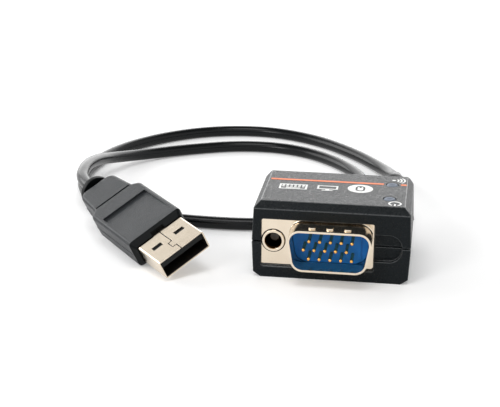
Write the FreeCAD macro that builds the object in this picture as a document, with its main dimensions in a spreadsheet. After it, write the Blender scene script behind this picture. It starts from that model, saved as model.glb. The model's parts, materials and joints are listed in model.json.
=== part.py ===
import FreeCAD, Part
import math
import os
import re
import Sketcher
from FreeCAD import Placement, Rotation, Vector

# KVM dongle: a small clamshell housing with a male 15-pin video plug in front, a network jack, a captive
# jackscrew and a cable boot at the back, and a thin cable that loops round to a USB plug.
# Origin: centre of the housing's underside. +X is to the right seen from the video plug, +Y runs to the
# back, +Z is up. Millimetres. Every value below can be changed by itself.
SIZES = {
    # Housing. Its width follows the video plug: at the seam, each side wall stands this far outside the
    # jackscrew's axis, and leans in above and below. The seam lies a little under mid-height.
    "screw_to_side": 4.7,
    "housing_depth": 23.4,
    "housing_height": 17.25,
    "seam_drop": 0.575,
    "wall_thickness": 1.6,
    "side_lean": 0.35,
    "side_bevel": 1.4,
    "foot_bevel_width": 1.6,
    "foot_bevel_height": 1.1,
    "front_bevel_depth": 1.3,
    "front_bevel_height": 1.6,
    "back_bevel": 0.9,
    "corner_radius": 3.0,
    "seam_groove_depth": 0.35,
    "seam_groove_height": 0.35,
    # Window for the video plug's flange, and the shallow pocket beside it that clears a jack nut.
    "eyelet_margin": 0.125,
    "plug_margin": 0.84,
    "window_rise": 4.95,
    "window_drop": 5.9,
    "window_radius": 0.5,
    "window_lip": 0.5,
    "sill_rise": 0.3,
    "sill_setback": 0.2,
    "pocket_length": 6.0,
    "pocket_rise": 2.65,
    "pocket_drop": 3.5,
    "pocket_depth": 1.0,
    "pocket_radius": 2.9,
    # Video plug: a stamped front shell, a rear shell, a moulded insulator and 15 turned pins.
    "plug_centre_drop": 0.225,
    "plug_reach": 5.9,
    "plug_width": 16.92,
    "plug_height": 8.36,
    "plug_side_lean": 10.0,
    "plug_corner_radius": 2.2,
    "shell_sheet": 0.45,
    "flange_drop": 5.35,
    "flange_sheet": 0.5,
    "flange_corner_radius": 0.6,
    "flange_clearance": 0.1,
    "flare_radius": 0.3,
    "dimple_width": 1.5,
    "dimple_length": 2.3,
    "dimple_height": 0.3,
    "dimple_pitch": 3.8,
    "dimple_setback": 1.4,
    "insulator_face_depth": 5.7,
    "insulator_step": 0.5,
    "insulator_block_width": 13.1,
    "insulator_block_radius": 1.4,
    "insulator_clearance": 0.06,
    "rear_shell_width": 17.4,
    "rear_shell_height": 9.6,
    "rear_shell_depth": 3.8,
    "rear_shell_sheet": 0.4,
    "pin_pitch": 2.29,
    "pin_row_pitch": 1.98,
    "pin_row_shift": 0.22,
    "pin_middle_shift": 0.93,
    "pin_diameter": 0.76,
    "pin_hole_clearance": 0.04,
    "pin_tip_depth": 0.8,
    "pin_tip_round": 0.3,
    "pin_tail": 0.8,
    # Captive jackscrew, its eyelet in the flange, retaining ring and knob.
    "screw_offset": 12.5,
    "screw_thread_diameter": 2.84,
    "screw_thread_depth": 0.3,
    "screw_thread_pitch": 0.635,
    "screw_thread_turns": 7.0,
    "screw_tip_depth": 2.6,
    "screw_tip_chamfer": 0.45,
    "screw_shank_diameter": 2.2,
    "screw_travel": 4.6,
    "eyelet_bore": 3.7,
    "eyelet_rim_diameter": 4.95,
    "eyelet_wall": 0.3,
    "eyelet_rim_height": 0.35,
    "eyelet_clearance": 0.05,
    "ring_diameter": 4.2,
    "ring_thickness": 0.5,
    "ring_clearance": 0.05,
    "ring_gap_width": 1.5,
    "knob_diameter": 5.2,
    "knob_length": 5.0,
    "knob_clearance": 0.3,
    "knob_block_wall": 0.5,
    "knob_gap": 0.2,
    "knob_flute_diameter": 0.7,
    "knob_flute_count": 14.0,
    "knob_slot_width": 0.8,
    "knob_slot_depth": 1.2,
    "knob_edge_chamfer": 0.3,
    "bulkhead_thickness": 1.6,
    "knob_recess_depth": 5.0,
    "screw_hole_clearance": 0.25,
    # Network jack at the back.
    "jack_side_gap": 0.6,
    "jack_width": 13.9,
    "jack_height": 11.7,
    "jack_board_gap": 2.1,
    "jack_sheet": 0.3,
    "jack_clearance": 0.1,
    "jack_mould_clearance": 0.05,
    "jack_mouth_width": 11.7,
    "jack_mouth_height": 6.9,
    "jack_mouth_depth": 11.0,
    "jack_mouth_drop": 0.6,
    "latch_width": 6.3,
    "latch_height": 1.5,
    "latch_notch_width": 3.3,
    "latch_notch_height": 1.5,
    "contact_count": 8.0,
    "contact_pitch": 1.02,
    "contact_width": 0.45,
    "contact_sheet": 0.3,
    "contact_reach": 7.0,
    "contact_fall": 2.2,
    "contact_return": 4.0,
    # Boards, chips and lamps inside, and the light pipes over the lamps.
    "board_thickness": 1.2,
    "board_height": 5.2,
    "board_clearance": 0.3,
    "board_post_diameter": 2.4,
    "plug_board_width": 17.2,
    "plug_board_height": 9.6,
    "controller_width": 6.4,
    "controller_height": 0.9,
    "driver_width": 3.6,
    "driver_height": 0.8,
    "lamp_width": 1.6,
    "lamp_height": 0.8,
    "lamp_clearance": 0.1,
    "light_pipe_diameter": 2.85,
    "light_pipe_clearance": 0.05,
    "light_pipe_stem_diameter": 2.0,
    "light_pipe_collar_diameter": 3.8,
    "light_pipe_collar_height": 0.6,
    "light_pipe_sink": 0.1,
    "power_lamp_x": 12.0,
    "power_lamp_y": -5.25,
    "status_lamp_x": 12.2,
    "status_lamp_y": 4.5,
    # Cable boot in the back wall, ribbed to let the cable bend.
    "boot_to_side": 5.4,
    "boot_neck_diameter": 5.2,
    "boot_flange_diameter": 7.2,
    "boot_flange_thickness": 1.4,
    "boot_rib_diameter": 8.0,
    "boot_end_diameter": 7.6,
    "boot_core_diameter": 5.6,
    "boot_length": 18.0,
    "boot_collar": 3.0,
    "boot_rib_width": 1.7,
    "boot_rib_gap": 1.3,
    "boot_clearance": 0.05,
    # Cable.
    "cable_diameter": 3.0,
    "boot_lead": 6.3,
    "plug_lead": 7.6,
    # USB plug, in its own frame: x across, y from the open end to the tail, z up. The first six place it.
    "usb_x": -31.2,
    "usb_y": -15.75,
    "usb_z": 5.55,
    "usb_yaw": 40.1,
    "usb_tail_rise": 2.75,
    "usb_roll": 27.4,
    "usb_shell_width": 12.0,
    "usb_shell_height": 4.5,
    "usb_shell_sheet": 0.3,
    "usb_shell_reach": 9.6,
    "usb_shell_grip": 2.0,
    "usb_shell_radius": 0.45,
    "usb_hole_width": 2.5,
    "usb_hole_length": 1.3,
    "usb_hole_spacing": 6.0,
    "usb_hole_setback": 4.9,
    "usb_seam_width": 0.12,
    "usb_seam_shift": 1.0,
    "usb_seam_first": 2.0,
    "usb_seam_second": 4.1,
    "usb_tongue_width": 11.1,
    "usb_tongue_thickness": 1.6,
    "usb_tongue_setback": 0.5,
    "usb_fit": 0.05,
    "usb_contact_width": 1.0,
    "usb_contact_pitch": 2.3,
    "usb_contact_length": 7.4,
    "usb_contact_sheet": 0.2,
    "usb_nose_length": 1.6,
    "usb_nose_front_rim": 0.25,
    "usb_nose_notch_width": 3.4,
    "usb_core_width": 7.4,
    "usb_core_height": 3.6,
    "usb_collar_wall": 0.5,
    "usb_collar_web": 1.2,
    "grip_width": 14.2,
    "grip_height": 6.9,
    "grip_length": 20.0,
    "grip_tail_width": 11.0,
    "grip_tail_end_width": 9.6,
    "grip_tail_length": 9.2,
    "grip_shoulder": 1.6,
    "grip_belly_rise": 1.1,
    "grip_edge_radius": 0.9,
    "grip_tail_radius": 2.2,
    "thumb_width": 11.9,
    "thumb_length": 12.4,
    "thumb_depth": 0.6,
    "thumb_setback": 1.9,
    "groove_width": 0.5,
    "groove_depth": 0.35,
    "groove_length": 9.8,
    "relief_ring_diameter": 7.8,
    "relief_core_diameter": 4.0,
    "relief_gap": 1.2,
    "relief_ring_width": 1.3,
    "relief_tail": 0.6,
}

# The cable lies in one and a half loops behind the housing. It leaves the boot, runs round the outside of
# the loop, lies in front of it, turns inside itself and climbs over its own first turn to the USB plug.
# It leaves the boot and the plug straight; these points lie between those two short leads.
CABLE_ROUTE = [
    (12.0, 45.0, 6.0),
    (11.5, 55.0, 2.5),
    (7.5, 66.0, 1.5),
    (-1.0, 78.5, 1.5),
    (-12.5, 90.0, 1.5),
    (-27.5, 96.5, 1.5),
    (-44.5, 93.5, 1.5),
    (-58.5, 82.5, 1.5),
    (-67.8, 67.0, 1.5),
    (-70.4, 49.0, 1.5),
    (-65.5, 31.5, 1.5),
    (-53.5, 19.5, 1.5),
    (-36.5, 16.5, 1.5),
    (-18.5, 16.5, 1.5),
    (-3.0, 23.5, 1.5),
    (5.0, 37.0, 1.5),
    (4.5, 53.0, 1.5),
    (-3.5, 68.5, 1.5),
    (-16.5, 79.5, 1.5),
    (-32.0, 81.0, 1.5),
    (-47.0, 74.5, 1.5),
    (-58.0, 66.5, 1.8),
    (-64.0, 55.5, 4.0),
    (-65.6, 44.5, 6.8),
    (-65.8, 33.5, 8.3),
]


def bound(expression):
    """Point every size named in an expression at its cell of the sheet."""
    return re.sub(r"\b[a-z]+(?:_[a-z]+)+\b", r"sizes.\g<0>", str(expression))


def number(expression):
    """The value of an expression over the sheet's sizes."""
    value = sizes.evalExpression(re.sub(r"sizes\.", "", bound(expression)))
    return float(getattr(value, "Value", value))


def less(a, b):
    return f"(({a}) - ({b}))"


def plus(a, b):
    return f"(({a}) + ({b}))"


# Each origin plane: the world axis of its normal, and the way that normal points along it.
NORMAL_SIGN = {"XY_Plane": 1, "XZ_Plane": -1, "YZ_Plane": 1}


def new_body(label):
    body = doc.addObject("PartDesign::Body", label)
    body.Label = label
    parts.append(body)
    return body


def sketch_on(body, plane, level="0"):
    """A sketch on one of the body's own origin planes, moved along its normal to a world level."""
    sketch = body.newObject("Sketcher::SketchObject", body.Label + "_sketch")
    face = [o for o in body.Origin.OriginFeatures if o.Role == plane][0]
    sketch.AttachmentSupport = [(face, "")]
    sketch.MapMode = "FlatFace"
    sign = "" if NORMAL_SIGN[plane] > 0 else "-"
    sketch.setExpression("AttachmentOffset.Base.z", f"{sign}({bound(level)})")
    return sketch


def hold(sketch, geometry, position, x, y):
    """Fix a sketch point at two expressions, measured from the sketch's origin."""
    for kind, axis, expression in (("DistanceX", -2, x), ("DistanceY", -1, y)):
        if str(expression) == "0":
            sketch.addConstraint(Sketcher.Constraint("PointOnObject", geometry, position, axis))
            continue
        row = sketch.addConstraint(
            Sketcher.Constraint(kind, -1, 1, geometry, position, number(expression))
        )
        sketch.setExpression(f"Constraints[{row}]", bound(expression))


def outline(sketch, corners):
    """A closed outline through corners (x, y) or (x, y, radius), each an expression."""
    places = [Vector(number(c[0]), number(c[1]), 0) for c in corners]
    radii = [number(c[2]) if len(c) > 2 else 0.0 for c in corners]
    count = len(corners)
    entries, exits = [], []
    for i, (place, radius) in enumerate(zip(places, radii)):
        back = (places[i - 1] - place).normalize()
        ahead = (places[(i + 1) % count] - place).normalize()
        reach = radius / math.tan(back.getAngle(ahead) / 2) if radius else 0.0
        entries.append(place + back * reach)
        exits.append(place + ahead * reach)
    lines = [
        sketch.addGeometry(Part.LineSegment(exits[i], entries[(i + 1) % count]), False)
        for i in range(count)
    ]
    for i, corner in enumerate(corners):
        before, after = lines[i - 1], lines[i]
        if not radii[i]:
            sketch.addConstraint(Sketcher.Constraint("Coincident", before, 2, after, 1))
            hold(sketch, after, 1, corner[0], corner[1])
            continue
        middle = (entries[i] + exits[i]) / 2
        inward = (middle - places[i]).normalize()
        half_turn = (entries[i] - middle).Length
        depth = math.sqrt(radii[i] ** 2 - half_turn**2)
        centre = middle + inward * depth
        crown = centre - inward * radii[i]
        arc = sketch.addGeometry(Part.Arc(entries[i], crown, exits[i]), False)
        starts_here = sketch.getPoint(arc, 1).distanceToPoint(entries[i]) < 1e-6
        first, last = (1, 2) if starts_here else (2, 1)
        mark = sketch.addGeometry(Part.Point(places[i]), True)
        hold(sketch, mark, 1, corner[0], corner[1])
        sketch.addConstraint(Sketcher.Constraint("PointOnObject", mark, 1, before))
        sketch.addConstraint(Sketcher.Constraint("PointOnObject", mark, 1, after))
        sketch.addConstraint(Sketcher.Constraint("Tangent", before, 2, arc, first))
        sketch.addConstraint(Sketcher.Constraint("Tangent", arc, last, after, 1))
        row = sketch.addConstraint(Sketcher.Constraint("Radius", arc, radii[i]))
        sketch.setExpression(f"Constraints[{row}]", bound(corner[2]))


def circle(sketch, x, y, diameter):
    """A circle at two expressions, with its diameter."""
    ring = Part.Circle(Vector(number(x), number(y), 0), Vector(0, 0, 1), number(diameter) / 2)
    index = sketch.addGeometry(ring, False)
    hold(sketch, index, 3, x, y)
    row = sketch.addConstraint(Sketcher.Constraint("Diameter", index, number(diameter)))
    sketch.setExpression(f"Constraints[{row}]", bound(diameter))


def rectangle(left, right, bottom, top, radius=None):
    """Corners of an upright rectangle, anticlockwise."""
    places = [(left, bottom), (right, bottom), (right, top), (left, top)]
    return [(x, y, radius) for x, y in places] if radius else places


def mirrored(right_side):
    """A closed outline from its right-hand points, given from the bottom up."""
    left_side = [(f"-({p[0]})",) + tuple(p[1:]) for p in reversed(right_side)]
    return list(right_side) + left_side


def extrude(body, kind, plane, start, end, *shapes):
    """A Pad or Pocket between two world levels. A shape is a list of corners or (x, y, diameter)."""
    sketch = sketch_on(body, plane, start)
    for shape in shapes:
        if isinstance(shape, tuple):
            circle(sketch, *shape)
        else:
            outline(sketch, shape)
    feature = body.newObject("PartDesign::" + kind, body.Label + "_" + kind.lower())
    feature.Profile = sketch
    feature.setExpression("Length", f"abs({bound(less(end, start))})")
    along_normal = (number(end) - number(start)) * NORMAL_SIGN[plane] > 0
    feature.Reversed = along_normal if kind == "Pocket" else not along_normal
    return feature


def turn(body, kind, corners):
    """A Revolution or Groove about the body's own Y axis, from corners (radius, y)."""
    sketch = sketch_on(body, "XY_Plane")
    outline(sketch, corners)
    feature = body.newObject("PartDesign::" + kind, body.Label + "_" + kind.lower())
    feature.Profile = sketch
    feature.ReferenceAxis = (sketch, ["V_Axis"])
    feature.Angle = 360
    return feature


def dress(body, kind, size, test):
    """A Fillet or Chamfer of the edges whose middle and direction pass a test."""
    doc.recompute()
    base = body.Tip
    names = []
    for index, edge in enumerate(base.Shape.Edges, 1):
        middle = edge.valueAt((edge.FirstParameter + edge.LastParameter) / 2)
        if test(edge, middle):
            names.append(f"Edge{index}")
    feature = body.newObject("PartDesign::" + kind, body.Label + "_" + kind.lower())
    feature.Base = (base, names)
    feature.setExpression("Radius" if kind == "Fillet" else "Size", bound(size))
    return feature


def place(body, x, y, z):
    """Bind a body's position to expressions."""
    for axis, expression in zip("xyz", (x, y, z)):
        if str(expression) != "0":
            body.setExpression(f"Placement.Base.{axis}", bound(expression))


doc = FreeCAD.newDocument("kvm_dongle")
sizes = doc.addObject("Spreadsheet::Sheet", "sizes")
for row, (alias, amount) in enumerate(SIZES.items(), 1):
    sizes.set(f"A{row}", alias)
    sizes.set(f"B{row}", str(amount))
    sizes.setAlias(f"B{row}", alias)
doc.recompute()
parts = []

# ---- places that several pieces share ---------------------------------------------------------------
HALF_WIDTH = "(screw_offset + screw_to_side)"
FRONT = "-housing_depth / 2"
BACK = "housing_depth / 2"
INNER_FRONT = plus(FRONT, "wall_thickness")
INNER_BACK = less(BACK, "wall_thickness")
INNER_HALF = f"({HALF_WIDTH} - wall_thickness)"
CEILING = "housing_height - wall_thickness"
AXIS_HEIGHT = "(housing_height / 2 - plug_centre_drop)"
SEAM_HEIGHT = "(housing_height / 2 - seam_drop)"
FLANGE_FACE = plus(FRONT, "window_lip")
LIP_FACE = less(FLANGE_FACE, "plug_reach")
WINDOW_LEFT = "-(screw_offset + eyelet_rim_diameter / 2 + eyelet_margin)"
WINDOW_RIGHT = "(plug_width / 2 + plug_margin)"
POCKET_RIGHT = plus(WINDOW_RIGHT, "pocket_length")
FLANGE_LEFT = less(WINDOW_LEFT, "3 * flange_clearance")
FLANGE_RIGHT = less(WINDOW_RIGHT, "flange_clearance")
REAR_FLANGE_BACK = plus(FLANGE_FACE, "2 * flange_sheet")
REAR_SHELL_BACK = plus(REAR_FLANGE_BACK, "rear_shell_depth")
PIN_END = plus(REAR_SHELL_BACK, "pin_tail")
PLUG_BOARD_BACK = plus(PIN_END, "board_thickness")
RECESS_FLOOR = less(BACK, "knob_recess_depth")
BULKHEAD_FACE = less(RECESS_FLOOR, "bulkhead_thickness")
KNOB_BLOCK_RIGHT = "-(screw_offset - knob_diameter / 2 - knob_clearance - knob_block_wall)"
JACK_HALF = "jack_width / 2"
JACK_MIDDLE = plus(KNOB_BLOCK_RIGHT, f"jack_side_gap + {JACK_HALF}")
JACK_INNER_END = plus(PLUG_BOARD_BACK, "jack_board_gap")
BOARD_TOP = "board_height + board_thickness"
BOOT_MIDDLE = less(HALF_WIDTH, "boot_to_side")
BOOT_BACK = plus(BACK, "boot_length")


def d_corners(offset, radius):
    """The plug's D outline in front view, grown by an offset, with its wide side up.

    The plug's width is taken across its rounded upper corners, so the sharp corners stand further out.
    """
    lean = "plug_side_lean * 1deg"
    sharp_half = f"plug_width / 2 + plug_corner_radius * (tan({lean}) + 1 / cos({lean}) - 1)"
    corners = []
    for z in (f"-(plug_height / 2 + {offset})", f"(plug_height / 2 + {offset})"):
        half = f"{sharp_half} - (plug_height / 2 - {z}) * tan({lean}) + ({offset}) / cos({lean})"
        corners.append((half, plus(AXIS_HEIGHT, z), radius))
    return mirrored(corners)


# ---- housing ----------------------------------------------------------------------------------------
def finish_shell(body, floor, seam):
    """Cuts that both halves of the clamshell share, from the floor or ceiling to the seam."""
    far = "housing_height"
    margin = "corner_radius"
    for side in ("", "-"):
        corner = [
            (f"{side}({HALF_WIDTH})", BACK, "corner_radius"),
            (f"{side}({HALF_WIDTH})", less(BACK, f"corner_radius + {margin}")),
            (f"{side}({HALF_WIDTH} + {margin})", less(BACK, f"corner_radius + {margin}")),
            (f"{side}({HALF_WIDTH} + {margin})", plus(BACK, margin)),
            (f"{side}({HALF_WIDTH} - corner_radius - {margin})", plus(BACK, margin)),
            (f"{side}({HALF_WIDTH} - corner_radius - {margin})", BACK),
        ]
        extrude(body, "Pocket", "XY_Plane", "0", far, corner)
    # The cavity leaves a block in the back left corner for the knob's recess and the screw's bulkhead.
    cavity = [
        (f"-({INNER_HALF})", INNER_FRONT),
        (INNER_HALF, INNER_FRONT),
        (INNER_HALF, INNER_BACK),
        (KNOB_BLOCK_RIGHT, INNER_BACK),
        (KNOB_BLOCK_RIGHT, BULKHEAD_FACE),
        (f"-({INNER_HALF})", BULKHEAD_FACE),
    ]
    extrude(body, "Pocket", "XY_Plane", seam, floor, cavity)
    window = rectangle(
        WINDOW_LEFT, WINDOW_RIGHT,
        less(AXIS_HEIGHT, "window_drop"), plus(AXIS_HEIGHT, "window_rise"), "window_radius",
    )
    extrude(body, "Pocket", "XZ_Plane", FRONT, FLANGE_FACE, window)
    seat = rectangle(
        less(FLANGE_LEFT, "flange_clearance"), plus(FLANGE_RIGHT, "flange_clearance"),
        less(AXIS_HEIGHT, "flange_drop + flange_clearance"),
        plus(AXIS_HEIGHT, "flange_drop + flange_clearance"),
    )
    extrude(body, "Pocket", "XZ_Plane", FLANGE_FACE, INNER_FRONT, seat)
    nut_pocket = [
        (WINDOW_RIGHT, less(AXIS_HEIGHT, "pocket_drop")),
        (POCKET_RIGHT, less(AXIS_HEIGHT, "pocket_drop"), "pocket_radius"),
        (POCKET_RIGHT, plus(AXIS_HEIGHT, "pocket_rise"), "pocket_radius"),
        (WINDOW_RIGHT, plus(AXIS_HEIGHT, "pocket_rise")),
    ]
    extrude(body, "Pocket", "XZ_Plane", FRONT, plus(FRONT, "pocket_depth"), nut_pocket)
    jack_opening = rectangle(
        less(JACK_MIDDLE, f"{JACK_HALF} + jack_clearance"), plus(JACK_MIDDLE, f"{JACK_HALF} + jack_clearance"),
        less(AXIS_HEIGHT, "jack_height / 2 + jack_clearance"),
        plus(AXIS_HEIGHT, "jack_height / 2 + jack_clearance"),
    )
    extrude(body, "Pocket", "XZ_Plane", BACK, INNER_BACK, jack_opening)
    boot_hole = (BOOT_MIDDLE, SEAM_HEIGHT, "boot_neck_diameter + 2 * boot_clearance")
    extrude(body, "Pocket", "XZ_Plane", BACK, INNER_BACK, boot_hole)
    knob_recess = ("-screw_offset", AXIS_HEIGHT, "knob_diameter + 2 * knob_clearance")
    extrude(body, "Pocket", "XZ_Plane", BACK, RECESS_FLOOR, knob_recess)
    screw_hole = ("-screw_offset", AXIS_HEIGHT, "screw_shank_diameter + 2 * screw_hole_clearance")
    extrude(body, "Pocket", "XZ_Plane", RECESS_FLOOR, BULKHEAD_FACE, screw_hole)


bottom_shell = new_body("bottom_shell")
bottom_profile = mirrored([
    (f"{HALF_WIDTH} - side_lean - foot_bevel_width", "0"),
    (f"{HALF_WIDTH} - side_lean", "foot_bevel_height"),
    (HALF_WIDTH, SEAM_HEIGHT),
])
extrude(bottom_shell, "Pad", "XZ_Plane", FRONT, BACK, bottom_profile)
finish_shell(bottom_shell, "wall_thickness", SEAM_HEIGHT)
# A low sill stands behind the window's lower edge, just under the flange.
sill = rectangle(
    WINDOW_LEFT, WINDOW_RIGHT,
    less(AXIS_HEIGHT, "window_drop"), less(AXIS_HEIGHT, "window_drop - sill_rise"),
)
extrude(bottom_shell, "Pad", "XZ_Plane", plus(FRONT, "sill_setback"), FLANGE_FACE, sill)
BOARD_POSTS = [
    (f"{INNER_HALF} - board_post_diameter", f"{INNER_FRONT} + board_post_diameter"),
    (f"{INNER_HALF} - board_post_diameter", f"{BACK} - 2 * wall_thickness - board_post_diameter"),
]
for x, y in BOARD_POSTS:
    extrude(bottom_shell, "Pad", "XY_Plane", "wall_thickness", "board_height",
            (x, y, "board_post_diameter"))

top_shell = new_body("top_shell")
top_profile = mirrored([
    (HALF_WIDTH, SEAM_HEIGHT),
    (f"{HALF_WIDTH} - side_lean", "housing_height - side_bevel"),
    (f"{HALF_WIDTH} - side_lean - side_bevel", "housing_height"),
])
extrude(top_shell, "Pad", "XZ_Plane", FRONT, BACK, top_profile)
for edge, depth, height in ((FRONT, "front_bevel_depth", "front_bevel_height"),
                            (BACK, "-back_bevel", "back_bevel")):
    bevel = [
        (edge, "housing_height - " + height),
        (plus(edge, depth), "housing_height"),
        (edge, "housing_height"),
    ]
    extrude(top_shell, "Pocket", "YZ_Plane", f"-2 * {HALF_WIDTH}", f"2 * {HALF_WIDTH}", bevel)
finish_shell(top_shell, CEILING, SEAM_HEIGHT)
# The shadow line at the seam: the upper half is stepped in all round, and again in the nut pocket.
GROOVE_TOP = plus(SEAM_HEIGHT, "seam_groove_height")
groove_inside = [
    (f"-({HALF_WIDTH} - seam_groove_depth)", plus(FRONT, "seam_groove_depth")),
    (f"{HALF_WIDTH} - seam_groove_depth", plus(FRONT, "seam_groove_depth")),
    (f"{HALF_WIDTH} - seam_groove_depth", less(BACK, "seam_groove_depth"),
     "corner_radius - seam_groove_depth"),
    (f"-({HALF_WIDTH} - seam_groove_depth)", less(BACK, "seam_groove_depth"),
     "corner_radius - seam_groove_depth"),
]
groove_outside = rectangle(f"-2 * {HALF_WIDTH}", f"2 * {HALF_WIDTH}", "-housing_depth", "housing_depth")
extrude(top_shell, "Pocket", "XY_Plane", SEAM_HEIGHT, GROOVE_TOP, groove_outside, groove_inside)
POCKET_FLOOR = plus(FRONT, "pocket_depth")
extrude(top_shell, "Pocket", "XZ_Plane", POCKET_FLOOR, plus(POCKET_FLOOR, "seam_groove_depth"),
        rectangle(WINDOW_RIGHT, POCKET_RIGHT, SEAM_HEIGHT, GROOVE_TOP))
for x, y in (("power_lamp_x", "power_lamp_y"), ("status_lamp_x", "status_lamp_y")):
    extrude(top_shell, "Pocket", "XY_Plane", "housing_height", CEILING,
            (x, y, "light_pipe_diameter + 2 * light_pipe_clearance"))

# ---- video plug -------------------------------------------------------------------------------------
EYELET_HOLE = ("-screw_offset", AXIS_HEIGHT,
               "eyelet_bore + 2 * eyelet_wall + 2 * eyelet_clearance")
flange = rectangle(
    FLANGE_LEFT, FLANGE_RIGHT,
    less(AXIS_HEIGHT, "flange_drop"), plus(AXIS_HEIGHT, "flange_drop"), "flange_corner_radius",
)
front_shell = new_body("vga_front_shell")
extrude(front_shell, "Pad", "XZ_Plane", FLANGE_FACE, plus(FLANGE_FACE, "flange_sheet"), flange)
extrude(front_shell, "Pad", "XZ_Plane", FLANGE_FACE, LIP_FACE,
        d_corners("shell_sheet", "plug_corner_radius + shell_sheet"))
# The skirt flares out where it is drawn from the flange.
flare_sections = []
for angle in (0, 30, 60, 90):
    spread = f"flare_radius * (1 - sin({angle} * 1deg))"
    level = less(FLANGE_FACE, f"flare_radius * (1 - cos({angle} * 1deg))")
    section = sketch_on(front_shell, "XZ_Plane", level)
    outline(section, d_corners(f"shell_sheet + {spread}", f"plug_corner_radius + shell_sheet + {spread}"))
    flare_sections.append(section)
flare = front_shell.newObject("PartDesign::AdditiveLoft", "vga_flare")
flare.Profile = flare_sections[0]
flare.Sections = flare_sections[1:]
flare.Ruled = True
for z, side in (("plug_height / 2", 1), ("-(plug_height / 2)", -1)):
    for step in (-1, 0, 1):
        middle_x = f"{step} * dimple_pitch"
        skin = plus(AXIS_HEIGHT, plus(z, f"{side} * shell_sheet"))
        dimple = rectangle(
            f"{middle_x} - dimple_width / 2", f"{middle_x} + dimple_width / 2",
            plus(LIP_FACE, "dimple_setback"), plus(LIP_FACE, "dimple_setback + dimple_length"),
            "dimple_width / 3",
        )
        extrude(front_shell, "Pad", "XY_Plane", skin, plus(skin, f"{side} * dimple_height"), dimple)
extrude(front_shell, "Pocket", "XZ_Plane", LIP_FACE, plus(FLANGE_FACE, "flange_sheet"),
        d_corners("0", "plug_corner_radius"))
extrude(front_shell, "Pocket", "XZ_Plane", FLANGE_FACE, plus(FLANGE_FACE, "flange_sheet"), EYELET_HOLE)

rear_shell = new_body("vga_rear_shell")
extrude(rear_shell, "Pad", "XZ_Plane", plus(FLANGE_FACE, "flange_sheet"), REAR_FLANGE_BACK, flange)
rear_box = rectangle(
    "-rear_shell_width / 2", "rear_shell_width / 2",
    less(AXIS_HEIGHT, "rear_shell_height / 2"), plus(AXIS_HEIGHT, "rear_shell_height / 2"),
)
rear_bore = rectangle(
    "-(rear_shell_width / 2 - rear_shell_sheet)", "rear_shell_width / 2 - rear_shell_sheet",
    less(AXIS_HEIGHT, "rear_shell_height / 2 - rear_shell_sheet"),
    plus(AXIS_HEIGHT, "rear_shell_height / 2 - rear_shell_sheet"),
)
extrude(rear_shell, "Pad", "XZ_Plane", REAR_FLANGE_BACK, REAR_SHELL_BACK, rear_box)
extrude(rear_shell, "Pocket", "XZ_Plane", plus(FLANGE_FACE, "flange_sheet"), REAR_SHELL_BACK, rear_bore)
extrude(rear_shell, "Pocket", "XZ_Plane", plus(FLANGE_FACE, "flange_sheet"), REAR_FLANGE_BACK,
        EYELET_HOLE)

PIN_ROWS = [("pin_row_pitch", "pin_row_shift"), ("0", "-pin_middle_shift"),
            ("-pin_row_pitch", "pin_row_shift")]
pin_places = [
    (f"{column} * pin_pitch + ({shift})", plus(AXIS_HEIGHT, rise))
    for rise, shift in PIN_ROWS for column in (-2, -1, 0, 1, 2)
]
insulator = new_body("vga_insulator")
INSULATOR_FACE = plus(LIP_FACE, "insulator_face_depth")
extrude(insulator, "Pad", "XZ_Plane", INSULATOR_FACE, plus(FLANGE_FACE, "flange_sheet"),
        d_corners("-insulator_clearance", "plug_corner_radius - insulator_clearance"))
insulator_block = rectangle(
    "-insulator_block_width / 2", "insulator_block_width / 2",
    less(AXIS_HEIGHT, "plug_height / 2 - insulator_clearance"),
    plus(AXIS_HEIGHT, "plug_height / 2 - insulator_clearance"), "insulator_block_radius",
)
extrude(insulator, "Pad", "XZ_Plane", INSULATOR_FACE, less(INSULATOR_FACE, "insulator_step"),
        insulator_block)
insulator_back = rectangle(
    "-(rear_shell_width / 2 - rear_shell_sheet - insulator_clearance)",
    "rear_shell_width / 2 - rear_shell_sheet - insulator_clearance",
    less(AXIS_HEIGHT, "rear_shell_height / 2 - rear_shell_sheet - insulator_clearance"),
    plus(AXIS_HEIGHT, "rear_shell_height / 2 - rear_shell_sheet - insulator_clearance"),
)
extrude(insulator, "Pad", "XZ_Plane", plus(FLANGE_FACE, "flange_sheet"), REAR_SHELL_BACK,
        insulator_back)
extrude(insulator, "Pocket", "XZ_Plane", less(INSULATOR_FACE, "insulator_step"), REAR_SHELL_BACK,
        *[(x, z, "pin_diameter + pin_hole_clearance") for x, z in pin_places])

for index, (x, z) in enumerate(pin_places, 1):
    pin = new_body(f"vga_pin_{index:02d}")
    turn(pin, "Revolution", [
        ("0", "0"),
        ("pin_diameter / 2", "0", "pin_tip_round"),
        ("pin_diameter / 2", less(PIN_END, plus(LIP_FACE, "pin_tip_depth"))),
        ("0", less(PIN_END, plus(LIP_FACE, "pin_tip_depth"))),
    ])
    place(pin, x, plus(LIP_FACE, "pin_tip_depth"), z)

# ---- jackscrew --------------------------------------------------------------------------------------
eyelet = new_body("screw_eyelet")
turn(eyelet, "Revolution", [
    ("eyelet_bore / 2", "-eyelet_rim_height", "eyelet_rim_height / 3"),
    ("eyelet_rim_diameter / 2", "-eyelet_rim_height", "eyelet_rim_height / 2"),
    ("eyelet_rim_diameter / 2", "0"),
    ("eyelet_bore / 2 + eyelet_wall", "0"),
    ("eyelet_bore / 2 + eyelet_wall", "2 * flange_sheet"),
    ("eyelet_rim_diameter / 2", "2 * flange_sheet"),
    ("eyelet_rim_diameter / 2", "2 * flange_sheet + eyelet_wall"),
    ("eyelet_bore / 2", "2 * flange_sheet + eyelet_wall"),
])
place(eyelet, "-screw_offset", FLANGE_FACE, AXIS_HEIGHT)

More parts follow.
